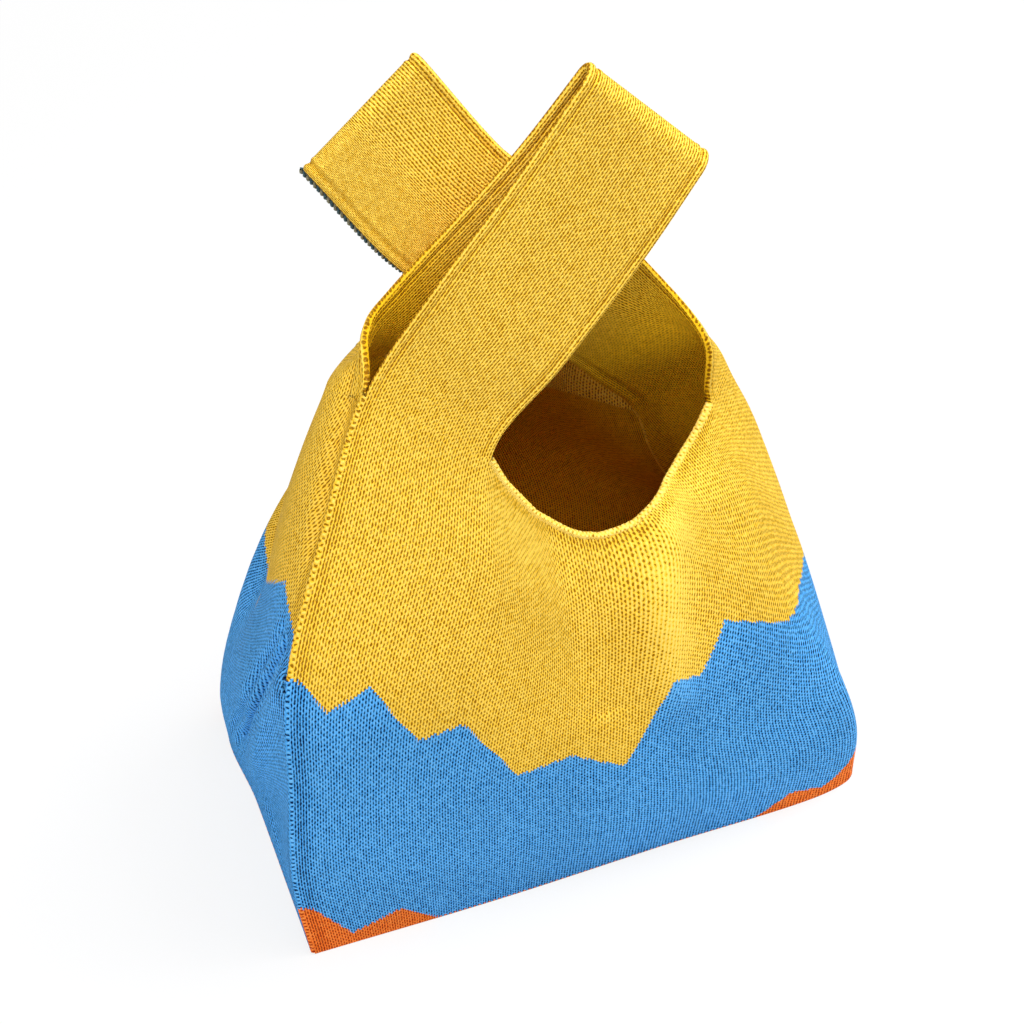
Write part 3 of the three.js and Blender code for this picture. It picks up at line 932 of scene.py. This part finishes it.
@dataclass(frozen=True)
class TwistedRimFinish:
    """Plied yarn in one colour, with painted shade in the grooves of its ply and painted highlight on its crowns.
    """

    name: str
    yarn: Yarn
    tone: bpy.types.NodeTree
    ply_scale: float = 900.0
    ply_distortion: float = 2.0
    groove_range: tuple[float, float, float, float] = (0.5, 0.1, 0.0, 0.8)
    relief: float = 0.0002
    roughness: float = 0.85
    sheen: float = 0.15
    specular: float = 0.2

    def build(self) -> bpy.types.Material:
        """Makes the material."""
        material = bpy.data.materials.new(self.name)
        material.use_nodes = True
        material.node_tree.nodes.clear()
        nodes = Nodes(material.node_tree)
        place = nodes.add("ShaderNodeTexCoord").outputs["Object"]
        ply = nodes.add("ShaderNodeTexWave", {
            "Vector": place, "Scale": self.ply_scale, "Distortion": self.ply_distortion})
        # painted shade in the ply's grooves
        groove = nodes.spread(ply.outputs["Fac"], *self.groove_range)
        tone = nodes.add("ShaderNodeGroup", {
            "Colour": self.yarn.colour, "Shade": self.yarn.shade, "Light": self.yarn.light,
            "Height": ply.outputs["Fac"], "Hole": groove,
        }, node_tree=self.tone)
        bump = nodes.add("ShaderNodeBump", {"Height": ply.outputs["Fac"], "Distance": self.relief})
        shader = nodes.add("ShaderNodeBsdfPrincipled", {
            "Base Color": tone.outputs["Colour"], "Roughness": self.roughness, "Sheen Weight": self.sheen,
            "Specular IOR Level": self.specular, "Normal": bump.outputs["Normal"],
        })
        nodes.add("ShaderNodeOutputMaterial", {"Surface": shader.outputs[0]})
        return material


RIM_TEAL = Yarn(srgb(0x3F5F68), srgb(0x22363C), srgb(0x5E8088))
RIM_GREY = Yarn(srgb(0x97967C), srgb(0x5A5A46), srgb(0xB4B294))


class Finishes:
    """Every material of the bag."""

    def __init__(self) -> None:
        """Makes the shared groups and the materials that use them."""
        stitch = StitchGroup().build()
        tone = YarnToneAndPaintedLightGroup().build()
        self.body = KnitFinish("zoned_knit", stitch, tone, zoned=True).build()
        # inner faces of the body in painted shade: the darker, more saturated inner yellow
        self.inside = KnitFinish("shaded_inside_knit", stitch, tone, yarn=SHADED_INSIDE_YELLOW, relief=0.0003).build()
        self.strap = KnitFinish("strap_knit", stitch, tone).build()
        self.strap_shaded_inside = KnitFinish("strap_shaded_inside_knit", stitch, tone, inner=SHADED_INSIDE_YELLOW).build()
        # the lip in the lighter yellow, painted highlight
        self.edge = KnitFinish("lit_bound_edge_knit", stitch, tone, yarn=LIT_EDGE_YELLOW).build()
        self.base = KnitFinish("base_knit", stitch, tone, yarn=ORANGE).build()
        self.rim_teal = TwistedRimFinish("rim_teal", RIM_TEAL, tone).build()
        self.rim_grey = TwistedRimFinish("rim_grey", RIM_GREY, tone).build()


@dataclass(frozen=True)
class StitchCounts:
    """The wale and course counts over a piece: fewer and longer stitches towards its neck edge."""

    piece: KnittedPiece
    narrowing_from: float = 0.35
    long_at_wale: float = 2.1
    long_around: float = 0.6
    long_from: float = 0.78
    longer: float = 0.45

    def wale(self, u: np.ndarray, v: np.ndarray) -> Grid:
        """The wale counts, which turn from the base's to the top edge's on the way up."""
        marks = self.piece.marks()
        low = np.interp(u, marks, np.arange(len(marks)))[None]
        top = self.piece.top_counts(u)[None]
        return low + (top - low) * smooth_step(v, self.narrowing_from, 1.05)[:, None]

    def course(self, u: np.ndarray, v: np.ndarray) -> Grid:
        """The course counts."""
        near = np.exp(-(((u - self.long_at_wale) / self.long_around) ** 2))[None]
        near = near * smooth_step(v, self.long_from, 0.95)[:, None]
        step = np.gradient(v)[:, None] * self.piece.courses() * (1 - self.longer * near)
        return np.cumsum(step, axis=0) - step[:1]


@dataclass
class BodyShell:
    """A knitted piece's body, from the base to its top edge."""

    piece: KnittedPiece
    replaces: tuple[str, ...]
    fine_between: tuple[float, float]
    rows: int = 160
    fine_parts: int = 3
    seam_hole: float = 0.0035
    seam_hole_reach: float = 0.0024
    neck_hole: float = 0.0034
    neck_hole_reach: float = 0.0022
    ribbing: float = 0.78
    smooth_and_highlight_places: tuple[tuple[float, float, float, float, float], ...] = ()

    def columns(self) -> np.ndarray:
        """The wale numbers of the mesh's columns: every stitch, and every half stitch by the folds."""
        marks = self.piece.marks()
        step = np.diff(marks)
        between = np.concatenate([marks[:-1] + step * part / self.fine_parts for part in range(1, self.fine_parts)])
        low, high = self.fine_between
        return np.sort(np.concatenate([marks, between[(between > low) & (between < high)]]))

    def deepened(self, u: np.ndarray, v: np.ndarray) -> Grid:
        """How much deeper the holes are along the seams and below the neck edge, and how much shallower at the
        smooth and highlight places.
        """
        marks = self.piece.marks()
        wale = np.interp(u, marks, np.arange(len(marks)))
        from_seam = np.minimum(wale, len(marks) - 1 - wale) * SIZES.wale
        seam = np.exp(-(((from_seam - self.seam_hole) / self.seam_hole_reach) ** 2))
        from_neck = (1 - v) * self.piece.courses() * SIZES.course
        neck = np.exp(-(((from_neck - self.neck_hole) / self.neck_hole_reach) ** 2))
        free = smooth_step(u, 1, 1.1) * (1 - smooth_step(u, 4.9, 5))
        deeper = np.maximum(seam[None], neck[:, None] * free[None])
        # Shallower holes leave the knit paler, with lighter crowns: along the front ridge this is a painted
        # highlight; the place left of the scoop only smooths the knit.
        for at_u, at_v, reach_u, reach_v, amount in self.smooth_and_highlight_places:
            away = ((u[None] - at_u) / reach_u) ** 2 + ((v[:, None] - at_v) / reach_v) ** 2
            deeper = deeper - amount * np.exp(-away)
        return deeper

    def build(self, finishes: Finishes) -> bpy.types.Object:
        """Makes the shell and lets it ride on the body."""
        u, v = self.columns(), np.linspace(0, 1, self.rows + 1)
        counts = StitchCounts(self.piece)
        orange, yellow = self.piece.changes(u).T
        sheet = Sheet(
            self.piece.points(u, v), np.array(SIZES.knit / 2),
            (counts.wale(u, v), counts.course(u, v), self.deepened(u, v)), (orange, yellow, self.ribbing))
        # the inner face takes the darker inner yellow, painted shade
        thing = sheet.build(self.piece.name, [finishes.body, finishes.inside])
        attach(thing, "bag_body")
        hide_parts(*self.replaces)
        return thing


@dataclass
class HandleLoop:
    """One handle: up the front strap, over the fold and down the back strap, as one ribbon."""

    name: str
    body: str
    front: Strap
    back: Strap
    crossed: bool
    replaces: tuple[str, ...]
    blend_start: Place
    blend_end: Place
    row_step: float = 0.0017
    fold_rows: int = 9
    edge_roll: float = 0.0015
    edge_hole: float = 0.0033
    edge_hole_reach: float = 0.0008
    root_reach: float = 0.012
    root_step: float = 0.009
    ribbing: float = 0.95
    root_ribbing: float = 0.78
    ribbing_reach: float = 0.03
    # From the roots out to these lengths the inner face turns from the darker inner yellow, painted shade, to the
    # strap's yellow.
    root_shade_ends: tuple[float, float] = (0.03, 0.10)
    columns_across: int = 36
    edge_columns_mm: tuple[float, ...] = (0, 0.25, 0.7, 1.2, 1.8, 2.4, 3.0, 3.5, 4.1, 4.7, 5.3, 6.0)
    edge_groove: Strip = Strip(0.0033, -0.0004, 0.0006)
    edge_ridge: Strip = Strip(0.0046, 0.0002, 0.0006)
    roll_ends: tuple[float, float] = (0.0018, 0.003)
    least_half: float = 0.0002
    line_samples: int = 200

    def across(self) -> np.ndarray:
        """Shares across the strap, close together over the rolled edges."""
        near = np.array(self.edge_columns_mm) * MILLIMETRE / SIZES.strap
        flat = np.linspace(near[-1], 1 - near[-1], self.columns_across)[1:-1]
        return np.concatenate([near, flat, 1 - near[::-1]])

    def half_thickness(self, across: np.ndarray) -> np.ndarray:
        """Half the knit's thickness across the strap: a roll, a groove and a second low ridge."""
        inward = np.minimum(across, 1 - across) * SIZES.strap
        roll = np.sqrt(np.maximum(self.edge_roll**2 - (inward - self.edge_roll) ** 2, 0))
        flat = SIZES.knit / 2 + self.edge_groove.rise(inward) + self.edge_ridge.rise(inward)
        share = smooth_step(inward, *self.roll_ends)
        return np.maximum(roll * (1 - share) + flat * share, self.least_half)

    def layer(self, strap: Strap, across: np.ndarray, end: float) -> Grid:
        """The rows of one layer from the body to the fold.

        Args:
            strap: The layer's strap.
            across: Shares from the armhole edge to the neck edge.
            end: The share of the strap at which the fold starts.

        Returns:
            The middle surface.
        """
        rows = round(self.length(strap) / self.row_step)
        return strap.points(across, np.linspace(0, end, rows))

    def build(self, finishes: Finishes) -> bpy.types.Object:
        """Makes the ribbon and bakes its place into its mesh."""
        across = self.across()
        back_across = 1 - across if self.crossed else across
        ends = (self.front.points(across, np.array([1.0]))[0], self.back.points(back_across, np.array([1.0]))[0])
        radius = float(np.linalg.norm(ends[0] - ends[1], axis=1).mean()) / 2
        lengths = [self.length(strap) for strap in (self.front, self.back)]
        front = self.layer(self.front, across, 1 - radius / lengths[0])
        back = self.layer(self.back, back_across, 1 - radius / lengths[1])[::-1]
        middle = np.concatenate([front, self.fold(front, back[0]), back])
        step = np.linalg.norm(np.diff(middle.mean(axis=1), axis=0), axis=1)
        length = np.concatenate([[0], np.cumsum(step)])
        course = (self.front.piece.courses() + length / SIZES.course)[:, None]
        arm, neck = self.front.wale_numbers
        wale = self.front.piece.top_counts(arm + (neck - arm) * across)
        from_end = np.minimum(length, length[-1] - length)
        settled = smooth_step(from_end, 0, self.root_reach)[:, None]
        half = self.half_thickness(across) * settled + SIZES.knit / 2 * (1 - settled)
        more = (self.ribbing - self.root_ribbing) * smooth_step(from_end, 0, self.ribbing_reach)[:, None]
        ribbed = self.root_ribbing + more
        # painted shade: share of the darker inner yellow near both roots
        root_shade = 1 - smooth_step(from_end, *self.root_shade_ends)[:, None]
        from_edge = np.minimum(across, 1 - across) * SIZES.strap
        deepened = np.exp(-(((from_edge - self.edge_hole) / self.edge_hole_reach) ** 2))
        below = [
            strap.piece.points(
                strap.wale_numbers[0] + (strap.wale_numbers[1] - strap.wale_numbers[0]) * share,
                np.array([1 - self.root_step]))
            for strap, share in ((self.front, across), (self.back, back_across))]
        normals = grid_normals(np.concatenate([below[0], middle, below[1]]))[1:-1]
        sheet = Sheet(middle, half, (wale, course, deepened), (root_shade, 0.0, ribbed), normals)
        faces = [finishes.strap, finishes.strap_shaded_inside]
        thing = sheet.build(self.name, faces[::-1] if self.crossed else faces)
        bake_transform(thing)
        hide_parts(*self.replaces)
        return thing

    def length(self, strap: Strap) -> float:
        """The length of a strap along its middle."""
        line = strap.points(np.array([0.5]), np.linspace(0, 1, self.line_samples))[:, 0]
        return float(np.linalg.norm(np.diff(line, axis=0), axis=1).sum())

    def fold(self, front: Grid, back_row: np.ndarray) -> Grid:
        """The rows over the fold.

        Args:
            front: The front layer, whose last rows give the way up.
            back_row: The first row of the back layer.

        Returns:
            The rows between the two layers.
        """
        half = (front[-1] - back_row) / 2
        rise = front[-1] - front[-2]
        facing = unit(half)
        rise = unit(rise - (rise * facing).sum(axis=1, keepdims=True) * facing)
        rise = rise * np.linalg.norm(half, axis=1, keepdims=True)
        turns = np.linspace(0, math.pi, self.fold_rows + 2)[1:-1]
        centre = (front[-1] + back_row) / 2
        return np.array([centre + half * math.cos(turn) + rise * math.sin(turn) for turn in turns])


@dataclass
class Cord:
    """A round cord along points, whose radius may swell and shrink along it."""

    points: np.ndarray
    radius: float
    sides: int = 10
    bead_pitch: float = 0.0
    bead_depth: float = 0.0
    courses: np.ndarray | None = None
    changes: np.ndarray | None = None
    deepened: float = 0.0
    first_side: Place = (0.3, 0.1, 1.0)

    def rings(self) -> tuple[Grid, Grid, np.ndarray]:
        """The rings of points, their outward directions and the length along the cord."""
        points = self.points
        length = np.concatenate([[0], np.cumsum(np.linalg.norm(np.diff(points, axis=0), axis=1))])
        ahead = unit(np.gradient(points, axis=0))
        side = np.zeros_like(points)
        side[0] = unit(np.cross(ahead[0], self.first_side))
        for i in range(1, len(points)):
            side[i] = unit(side[i - 1] - (side[i - 1] @ ahead[i]) * ahead[i])
        up = np.cross(ahead, side)
        turns = np.linspace(0, 2 * math.pi, self.sides, endpoint=False)
        radius = np.full(len(points), self.radius)
        if self.bead_pitch:
            radius = radius * (1 - self.bead_depth * np.abs(np.cos(math.pi * length / self.bead_pitch)))
        spoke = side[:, None] * np.cos(turns)[None, :, None] + up[:, None] * np.sin(turns)[None, :, None]
        return points[:, None] + spoke * radius[:, None, None], spoke, length

    def build(self, name: str, material: bpy.types.Material) -> bpy.types.Object:
        """Makes the closed tube.

        Args:
            name: The object's name.
            material: Its material.

        Returns:
            The object.
        """
        ring, spoke, length = self.rings()
        count = len(ring)
        knit, yarns = np.zeros_like(ring), np.zeros_like(ring)
        knit[..., 0] = np.linspace(0, 2, self.sides)[None]
        knit[..., 1] = (length / SIZES.course if self.courses is None else self.courses)[:, None]
        knit[..., 2] = self.deepened
        if self.changes is not None:
            yarns[..., :2] = self.changes
        maker = MeshMaker(name)
        maker.add_points(ring, knit, spoke, yarns)
        for i in range(count - 1):
            for j in range(self.sides):
                k = (j + 1) % self.sides
                corners = ((i, j), (i, k), (i + 1, k), (i + 1, j))
                maker.add_face(tuple(row * self.sides + column for row, column in corners))
        last = (count - 1) * self.sides
        maker.add_face(tuple(range(self.sides))[::-1])
        maker.add_face(tuple(last + j for j in range(self.sides)))
        return maker.finish([material])


@dataclass
class RolledEdges:
    """The two corner seams and the bound-off edges between the straps."""

    steps: int = 160
    neck_detail: int = 3
    seam_start: float = 0.004
    # below zero: shallower holes that leave the lip paler, part of its painted highlight
    neck_deepened: float = -1.0
    loop_pitch: float = 0.0023
    loop_depth: float = 0.09

    def seam(self, piece: KnittedPiece, name: str, finishes: Finishes) -> bpy.types.Object:
        """The roll of linked stitches up a piece's first wale."""
        v = np.linspace(self.seam_start, 1, self.steps)
        points = piece.points(np.array([0.0]), v)[:, 0]
        changes = piece.changes(np.array([0.0]))[0]
        cord = Cord(points, SIZES.seam_roll / 2, courses=v * piece.courses(), changes=changes)
        return self.settle(cord.build(name, finishes.body), name)

    def neck(self, piece: KnittedPiece, name: str, finishes: Finishes) -> bpy.types.Object:
        """The chain of bound-off stitches along a piece's top between its straps."""
        u = np.linspace(1, 5, self.steps * self.neck_detail)
        points = piece.points(u, np.array([1.0]))[0]
        cord = Cord(
            points, SIZES.bound_edge / 2, bead_pitch=self.loop_pitch, bead_depth=self.loop_depth,
            deepened=self.neck_deepened)
        return self.settle(cord.build(name, finishes.edge), name)

    def settle(self, thing: bpy.types.Object, node: str) -> bpy.types.Object:
        """Lets an edge ride on the body in place of its node."""
        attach(thing, "bag_body")
        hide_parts(node)
        return thing


@dataclass
class TwistedRim:
    """Two plied yarns twisted along the neck edge of a handle's rear layer."""

    strap: Strap
    body: str
    name: str
    start: float
    pitch: float = 0.0034
    steps_a_turn: int = 10
    sunk: float = 0.0007
    line_samples: int = 400
    inner_share: float = 0.96

    def build(self, finishes: Finishes) -> list[bpy.types.Object]:
        """Makes the two yarns."""
        v = np.linspace(self.start, 1, self.line_samples)
        rows = self.strap.points(np.array([self.inner_share, 1.0]), v)
        outward = unit(rows[:, 1] - rows[:, 0])
        line = rows[:, 1] + outward * (SIZES.twisted_rim / 2 - self.sunk)
        length = np.concatenate([[0], np.cumsum(np.linalg.norm(np.diff(line, axis=0), axis=1))])
        steps = round(length[-1] / self.pitch * self.steps_a_turn)
        even = np.linspace(0, length[-1], steps)
        line = np.stack([np.interp(even, length, line[:, k]) for k in range(3)], axis=1)
        ahead = unit(np.gradient(line, axis=0))
        side = unit(np.cross(ahead, np.stack([np.interp(even, length, outward[:, k]) for k in range(3)], axis=1)))
        up = np.cross(ahead, side)
        made = []
        for k, finish in enumerate((finishes.rim_teal, finishes.rim_grey)):
            turn = 2 * math.pi * even / self.pitch + k * math.pi
            offset = side * np.cos(turn)[:, None] + up * np.sin(turn)[:, None]
            yarn = Cord(line + offset * SIZES.twisted_rim / 4, SIZES.twisted_rim / 4, sides=6)
            thing = yarn.build(f"{self.name}_{('teal', 'grey')[k]}", finish)
            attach(thing, self.body)
            made.append(thing)
        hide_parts(self.name)
        return made


@dataclass
class Base:
    """The flat knitted base under the walls."""

    thickness: float = 0.0020
    ring_count: int = 24
    least_ring: float = 0.02

    def build(self, finishes: Finishes) -> bpy.types.Object:
        """Makes the base as a sheet whose rows run from the front to the back."""
        outline = np.concatenate([
            piece.points(piece.marks()[:-1], np.array([0.0]))[0] for piece in (FRONT_PIECE, BACK_PIECE)
        ])[:, :2]
        centre = outline.mean(axis=0)
        rings = np.linspace(1, self.least_ring, self.ring_count)
        maker = MeshMaker("base")
        count = len(outline)
        points, normals, knit = [], [], []
        for level, z in ((0, 0.0), (1, self.thickness)):
            for ring in rings:
                flat = centre + (outline - centre) * ring
                xyz = np.column_stack([flat, np.full(count, z)])
                points.append(xyz)
                normals.append(np.tile((0, 0, -1.0 if level == 0 else 1.0), (count, 1)))
                knit.append(np.column_stack([flat[:, 0] / SIZES.wale, flat[:, 1] / SIZES.course, np.zeros(count)]))
        maker.add_points(np.concatenate(points), np.concatenate(knit), np.concatenate(normals))
        for level in (0, 1):
            first = level * len(rings) * count
            for r in range(len(rings) - 1):
                for j in range(count):
                    k = (j + 1) % count
                    a, b = first + r * count + j, first + r * count + k
                    c, d = first + (r + 1) * count + k, first + (r + 1) * count + j
                    maker.add_face((d, c, b, a) if level == 0 else (a, b, c, d))
            last = first + (len(rings) - 1) * count
            cap = tuple(last + j for j in range(count))
            maker.add_face(cap[::-1] if level == 0 else cap)
        above = len(rings) * count
        for j in range(count):
            k = (j + 1) % count
            maker.add_face((j, k, above + k, above + j))
        thing = maker.finish([finishes.base])
        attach(thing, "bag_body")
        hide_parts("base_panel")
        return thing


@dataclass(frozen=True)
class Lamp:
    """A square soft light: where it stands, the length of its side and its power in watts."""

    name: str
    place: Place
    size: float
    power: float


@dataclass(frozen=True)
class Studio:
    """Floor, soft lights, white world and the camera at the photograph's angle."""

    azimuth: float = -19.8
    elevation: float = 47.0
    distance: float = 0.888
    target: Place = (-0.014, -0.012, 0.150)
    lens: float = 90.0
    sensor: float = 36.0
    floor_size: float = 40.0
    floor_drop: float = 0.0003
    floor_grey: float = 0.9
    floor_glow_near: float = 0.2
    floor_glow_far: float = 0.8
    least_glow: float = 0.8
    ambient: float = 0.30
    lamps: tuple[Lamp, ...] = (
        Lamp("key", (0.75, 0.10, 1.20), 0.9, 15.5),
        Lamp("fill", (-0.75, -0.45, 0.95), 0.9, 6.5),
        Lamp("top", (0.05, -0.20, 0.85), 0.5, 2.6),
    )

    def camera(self) -> None:
        """Places the camera."""
        a, e = math.radians(self.azimuth), math.radians(self.elevation)
        back = Vector((math.sin(a) * math.cos(e), -math.cos(a) * math.cos(e), math.sin(e)))
        data = bpy.data.cameras.new("camera")
        data.lens, data.sensor_width = self.lens, self.sensor
        thing = bpy.data.objects.new("camera", data)
        thing.location = Vector(self.target) + back * self.distance
        thing.rotation_euler = back.to_track_quat("Z", "Y").to_euler()
        bpy.context.scene.collection.objects.link(thing)
        bpy.context.scene.camera = thing

    def light(self, lamp: Lamp) -> None:
        """Adds a lamp aimed at the bag.

        Args:
            lamp: The lamp.
        """
        data = bpy.data.lights.new(lamp.name, "AREA")
        data.energy, data.size = lamp.power, lamp.size
        thing = bpy.data.objects.new(lamp.name, data)
        thing.location = lamp.place
        aim = Vector(lamp.place) - Vector(self.target)
        thing.rotation_euler = aim.to_track_quat("Z", "Y").to_euler()
        bpy.context.scene.collection.objects.link(thing)

    def world(self) -> None:
        """Lights from all round, and shows white behind the bag."""
        world = bpy.data.worlds.new("studio")
        world.use_nodes = True
        world.node_tree.nodes.clear()
        nodes = Nodes(world.node_tree)
        path = nodes.add("ShaderNodeLightPath")
        seen = nodes.math("MAXIMUM", path.outputs["Is Camera Ray"], path.outputs["Is Glossy Ray"])
        seen = nodes.math("MAXIMUM", seen, path.outputs["Is Transmission Ray"])
        ambient = nodes.add("ShaderNodeBackground", {"Color": (1, 1, 1, 1), "Strength": self.ambient})
        shown = nodes.add("ShaderNodeBackground", {"Color": (1, 1, 1, 1), "Strength": 1.0})
        mixed = nodes.add("ShaderNodeMixShader", {0: seen, 1: ambient.outputs[0], 2: shown.outputs[0]})
        nodes.add("ShaderNodeOutputWorld", {"Surface": mixed.outputs[0]})
        bpy.context.scene.world = world

    def floor(self) -> None:
        """Adds the pale floor, which the camera sees nearly white and which keeps the shadow."""
        half = self.floor_size / 2
        mesh = bpy.data.meshes.new("floor")
        corners = [(-half, -half, 0), (half, -half, 0), (half, half, 0), (-half, half, 0)]
        mesh.from_pydata(corners, [], [(0, 1, 2, 3)])
        material = bpy.data.materials.new("pale_floor")
        material.use_nodes = True
        material.node_tree.nodes.clear()
        nodes = Nodes(material.node_tree)
        path = nodes.add("ShaderNodeLightPath")
        place = nodes.add("ShaderNodeTexCoord").outputs["Object"]
        away = nodes.add("ShaderNodeVectorMath", {0: place}, operation="LENGTH").outputs["Value"]
        whiter = nodes.spread(away, self.floor_glow_near, self.floor_glow_far, self.least_glow, 1.0)
        share = nodes.math("MULTIPLY", path.outputs["Is Camera Ray"], whiter)
        diffuse = nodes.add("ShaderNodeBsdfDiffuse", {"Color": (*[self.floor_grey] * 3, 1)})
        glow = nodes.add("ShaderNodeEmission", {"Color": (1, 1, 1, 1), "Strength": 1.0})
        mixed = nodes.add("ShaderNodeMixShader", {0: share, 1: diffuse.outputs[0], 2: glow.outputs[0]})
        nodes.add("ShaderNodeOutputMaterial", {"Surface": mixed.outputs[0]})
        mesh.materials.append(material)
        thing = bpy.data.objects.new("floor", mesh)
        thing.location.z = -self.floor_drop
        bpy.context.scene.collection.objects.link(thing)

    def build(self) -> None:
        """Sets up everything round the bag."""
        self.camera()
        self.world()
        self.floor()
        for lamp in self.lamps:
            self.light(lamp)
        bpy.context.scene.view_settings.view_transform = "Standard"


def main() -> None:
    """Builds every piece and the studio."""
    logging.basicConfig(level=logging.INFO, format="%(name)s: %(message)s")
    finishes = Finishes()
    Studio().build()
    walls = lambda *sides: tuple(f"{side}_{yarn}" for side in sides for yarn in ("orange", "blue", "yellow"))
    shells = (
        BodyShell(FRONT_PIECE, walls("front", "right_side"), (1.2, 3.4),
                  # The first five places follow the front ridge and paint its pale highlight; the last smooths the
                  # knit left of the scoop.
                  smooth_and_highlight_places=(
                      (3.3, 0.99, 0.25, 0.06, 1.2), (2.85, 0.94, 0.2, 0.06, 1.6), (2.48, 0.865, 0.17, 0.07, 1.8),
                      (2.28, 0.76, 0.14, 0.08, 1.8), (2.16, 0.64, 0.12, 0.08, 1.0), (1.25, 0.95, 0.25, 0.10, 0.8))),
        BodyShell(BACK_PIECE, walls("back", "left_side"), (4.4, 7.0)),
    )
    for shell in shells:
        thing = shell.build(finishes)
        log.info("%s: %d faces", thing.name, len(thing.data.polygons))
    left = HandleLoop(
        "left_handle_loop", "left_handle", Strap("front_left", FRONT_PIECE), Strap("back_left", BACK_PIECE),
        False, ("front_left_strap_root", "back_left_strap_root", "left_handle_band"),
        (-0.050, -0.008, 0.205), (-0.012, -0.008, 0.246))
    right = HandleLoop(
        "right_handle_loop", "right_handle", Strap("front_right", FRONT_PIECE), Strap("back_right", BACK_PIECE),
        True, ("front_right_strap_root", "back_right_strap_root", "right_handle_band"),
        (0.040, 0.022, 0.175), (-0.004, 0.022, 0.240))
    for loop in (left, right):
        thing = loop.build(finishes)
        log.info("%s: %d faces", thing.name, len(thing.data.polygons))
    edges = RolledEdges()
    edges.seam(FRONT_PIECE, "front_left_seam", finishes)
    edges.seam(BACK_PIECE, "back_right_seam", finishes)
    edges.neck(FRONT_PIECE, "front_neck_edge", finishes)
    edges.neck(BACK_PIECE, "back_neck_edge", finishes)
    TwistedRim(Strap("back_left", BACK_PIECE), "left_handle", "left_handle_rim", 0.6).build(finishes)
    TwistedRim(Strap("back_right", BACK_PIECE), "right_handle", "right_handle_rim", 0.62).build(finishes)
    Base().build(finishes)


if __name__ == "__main__":
    main()
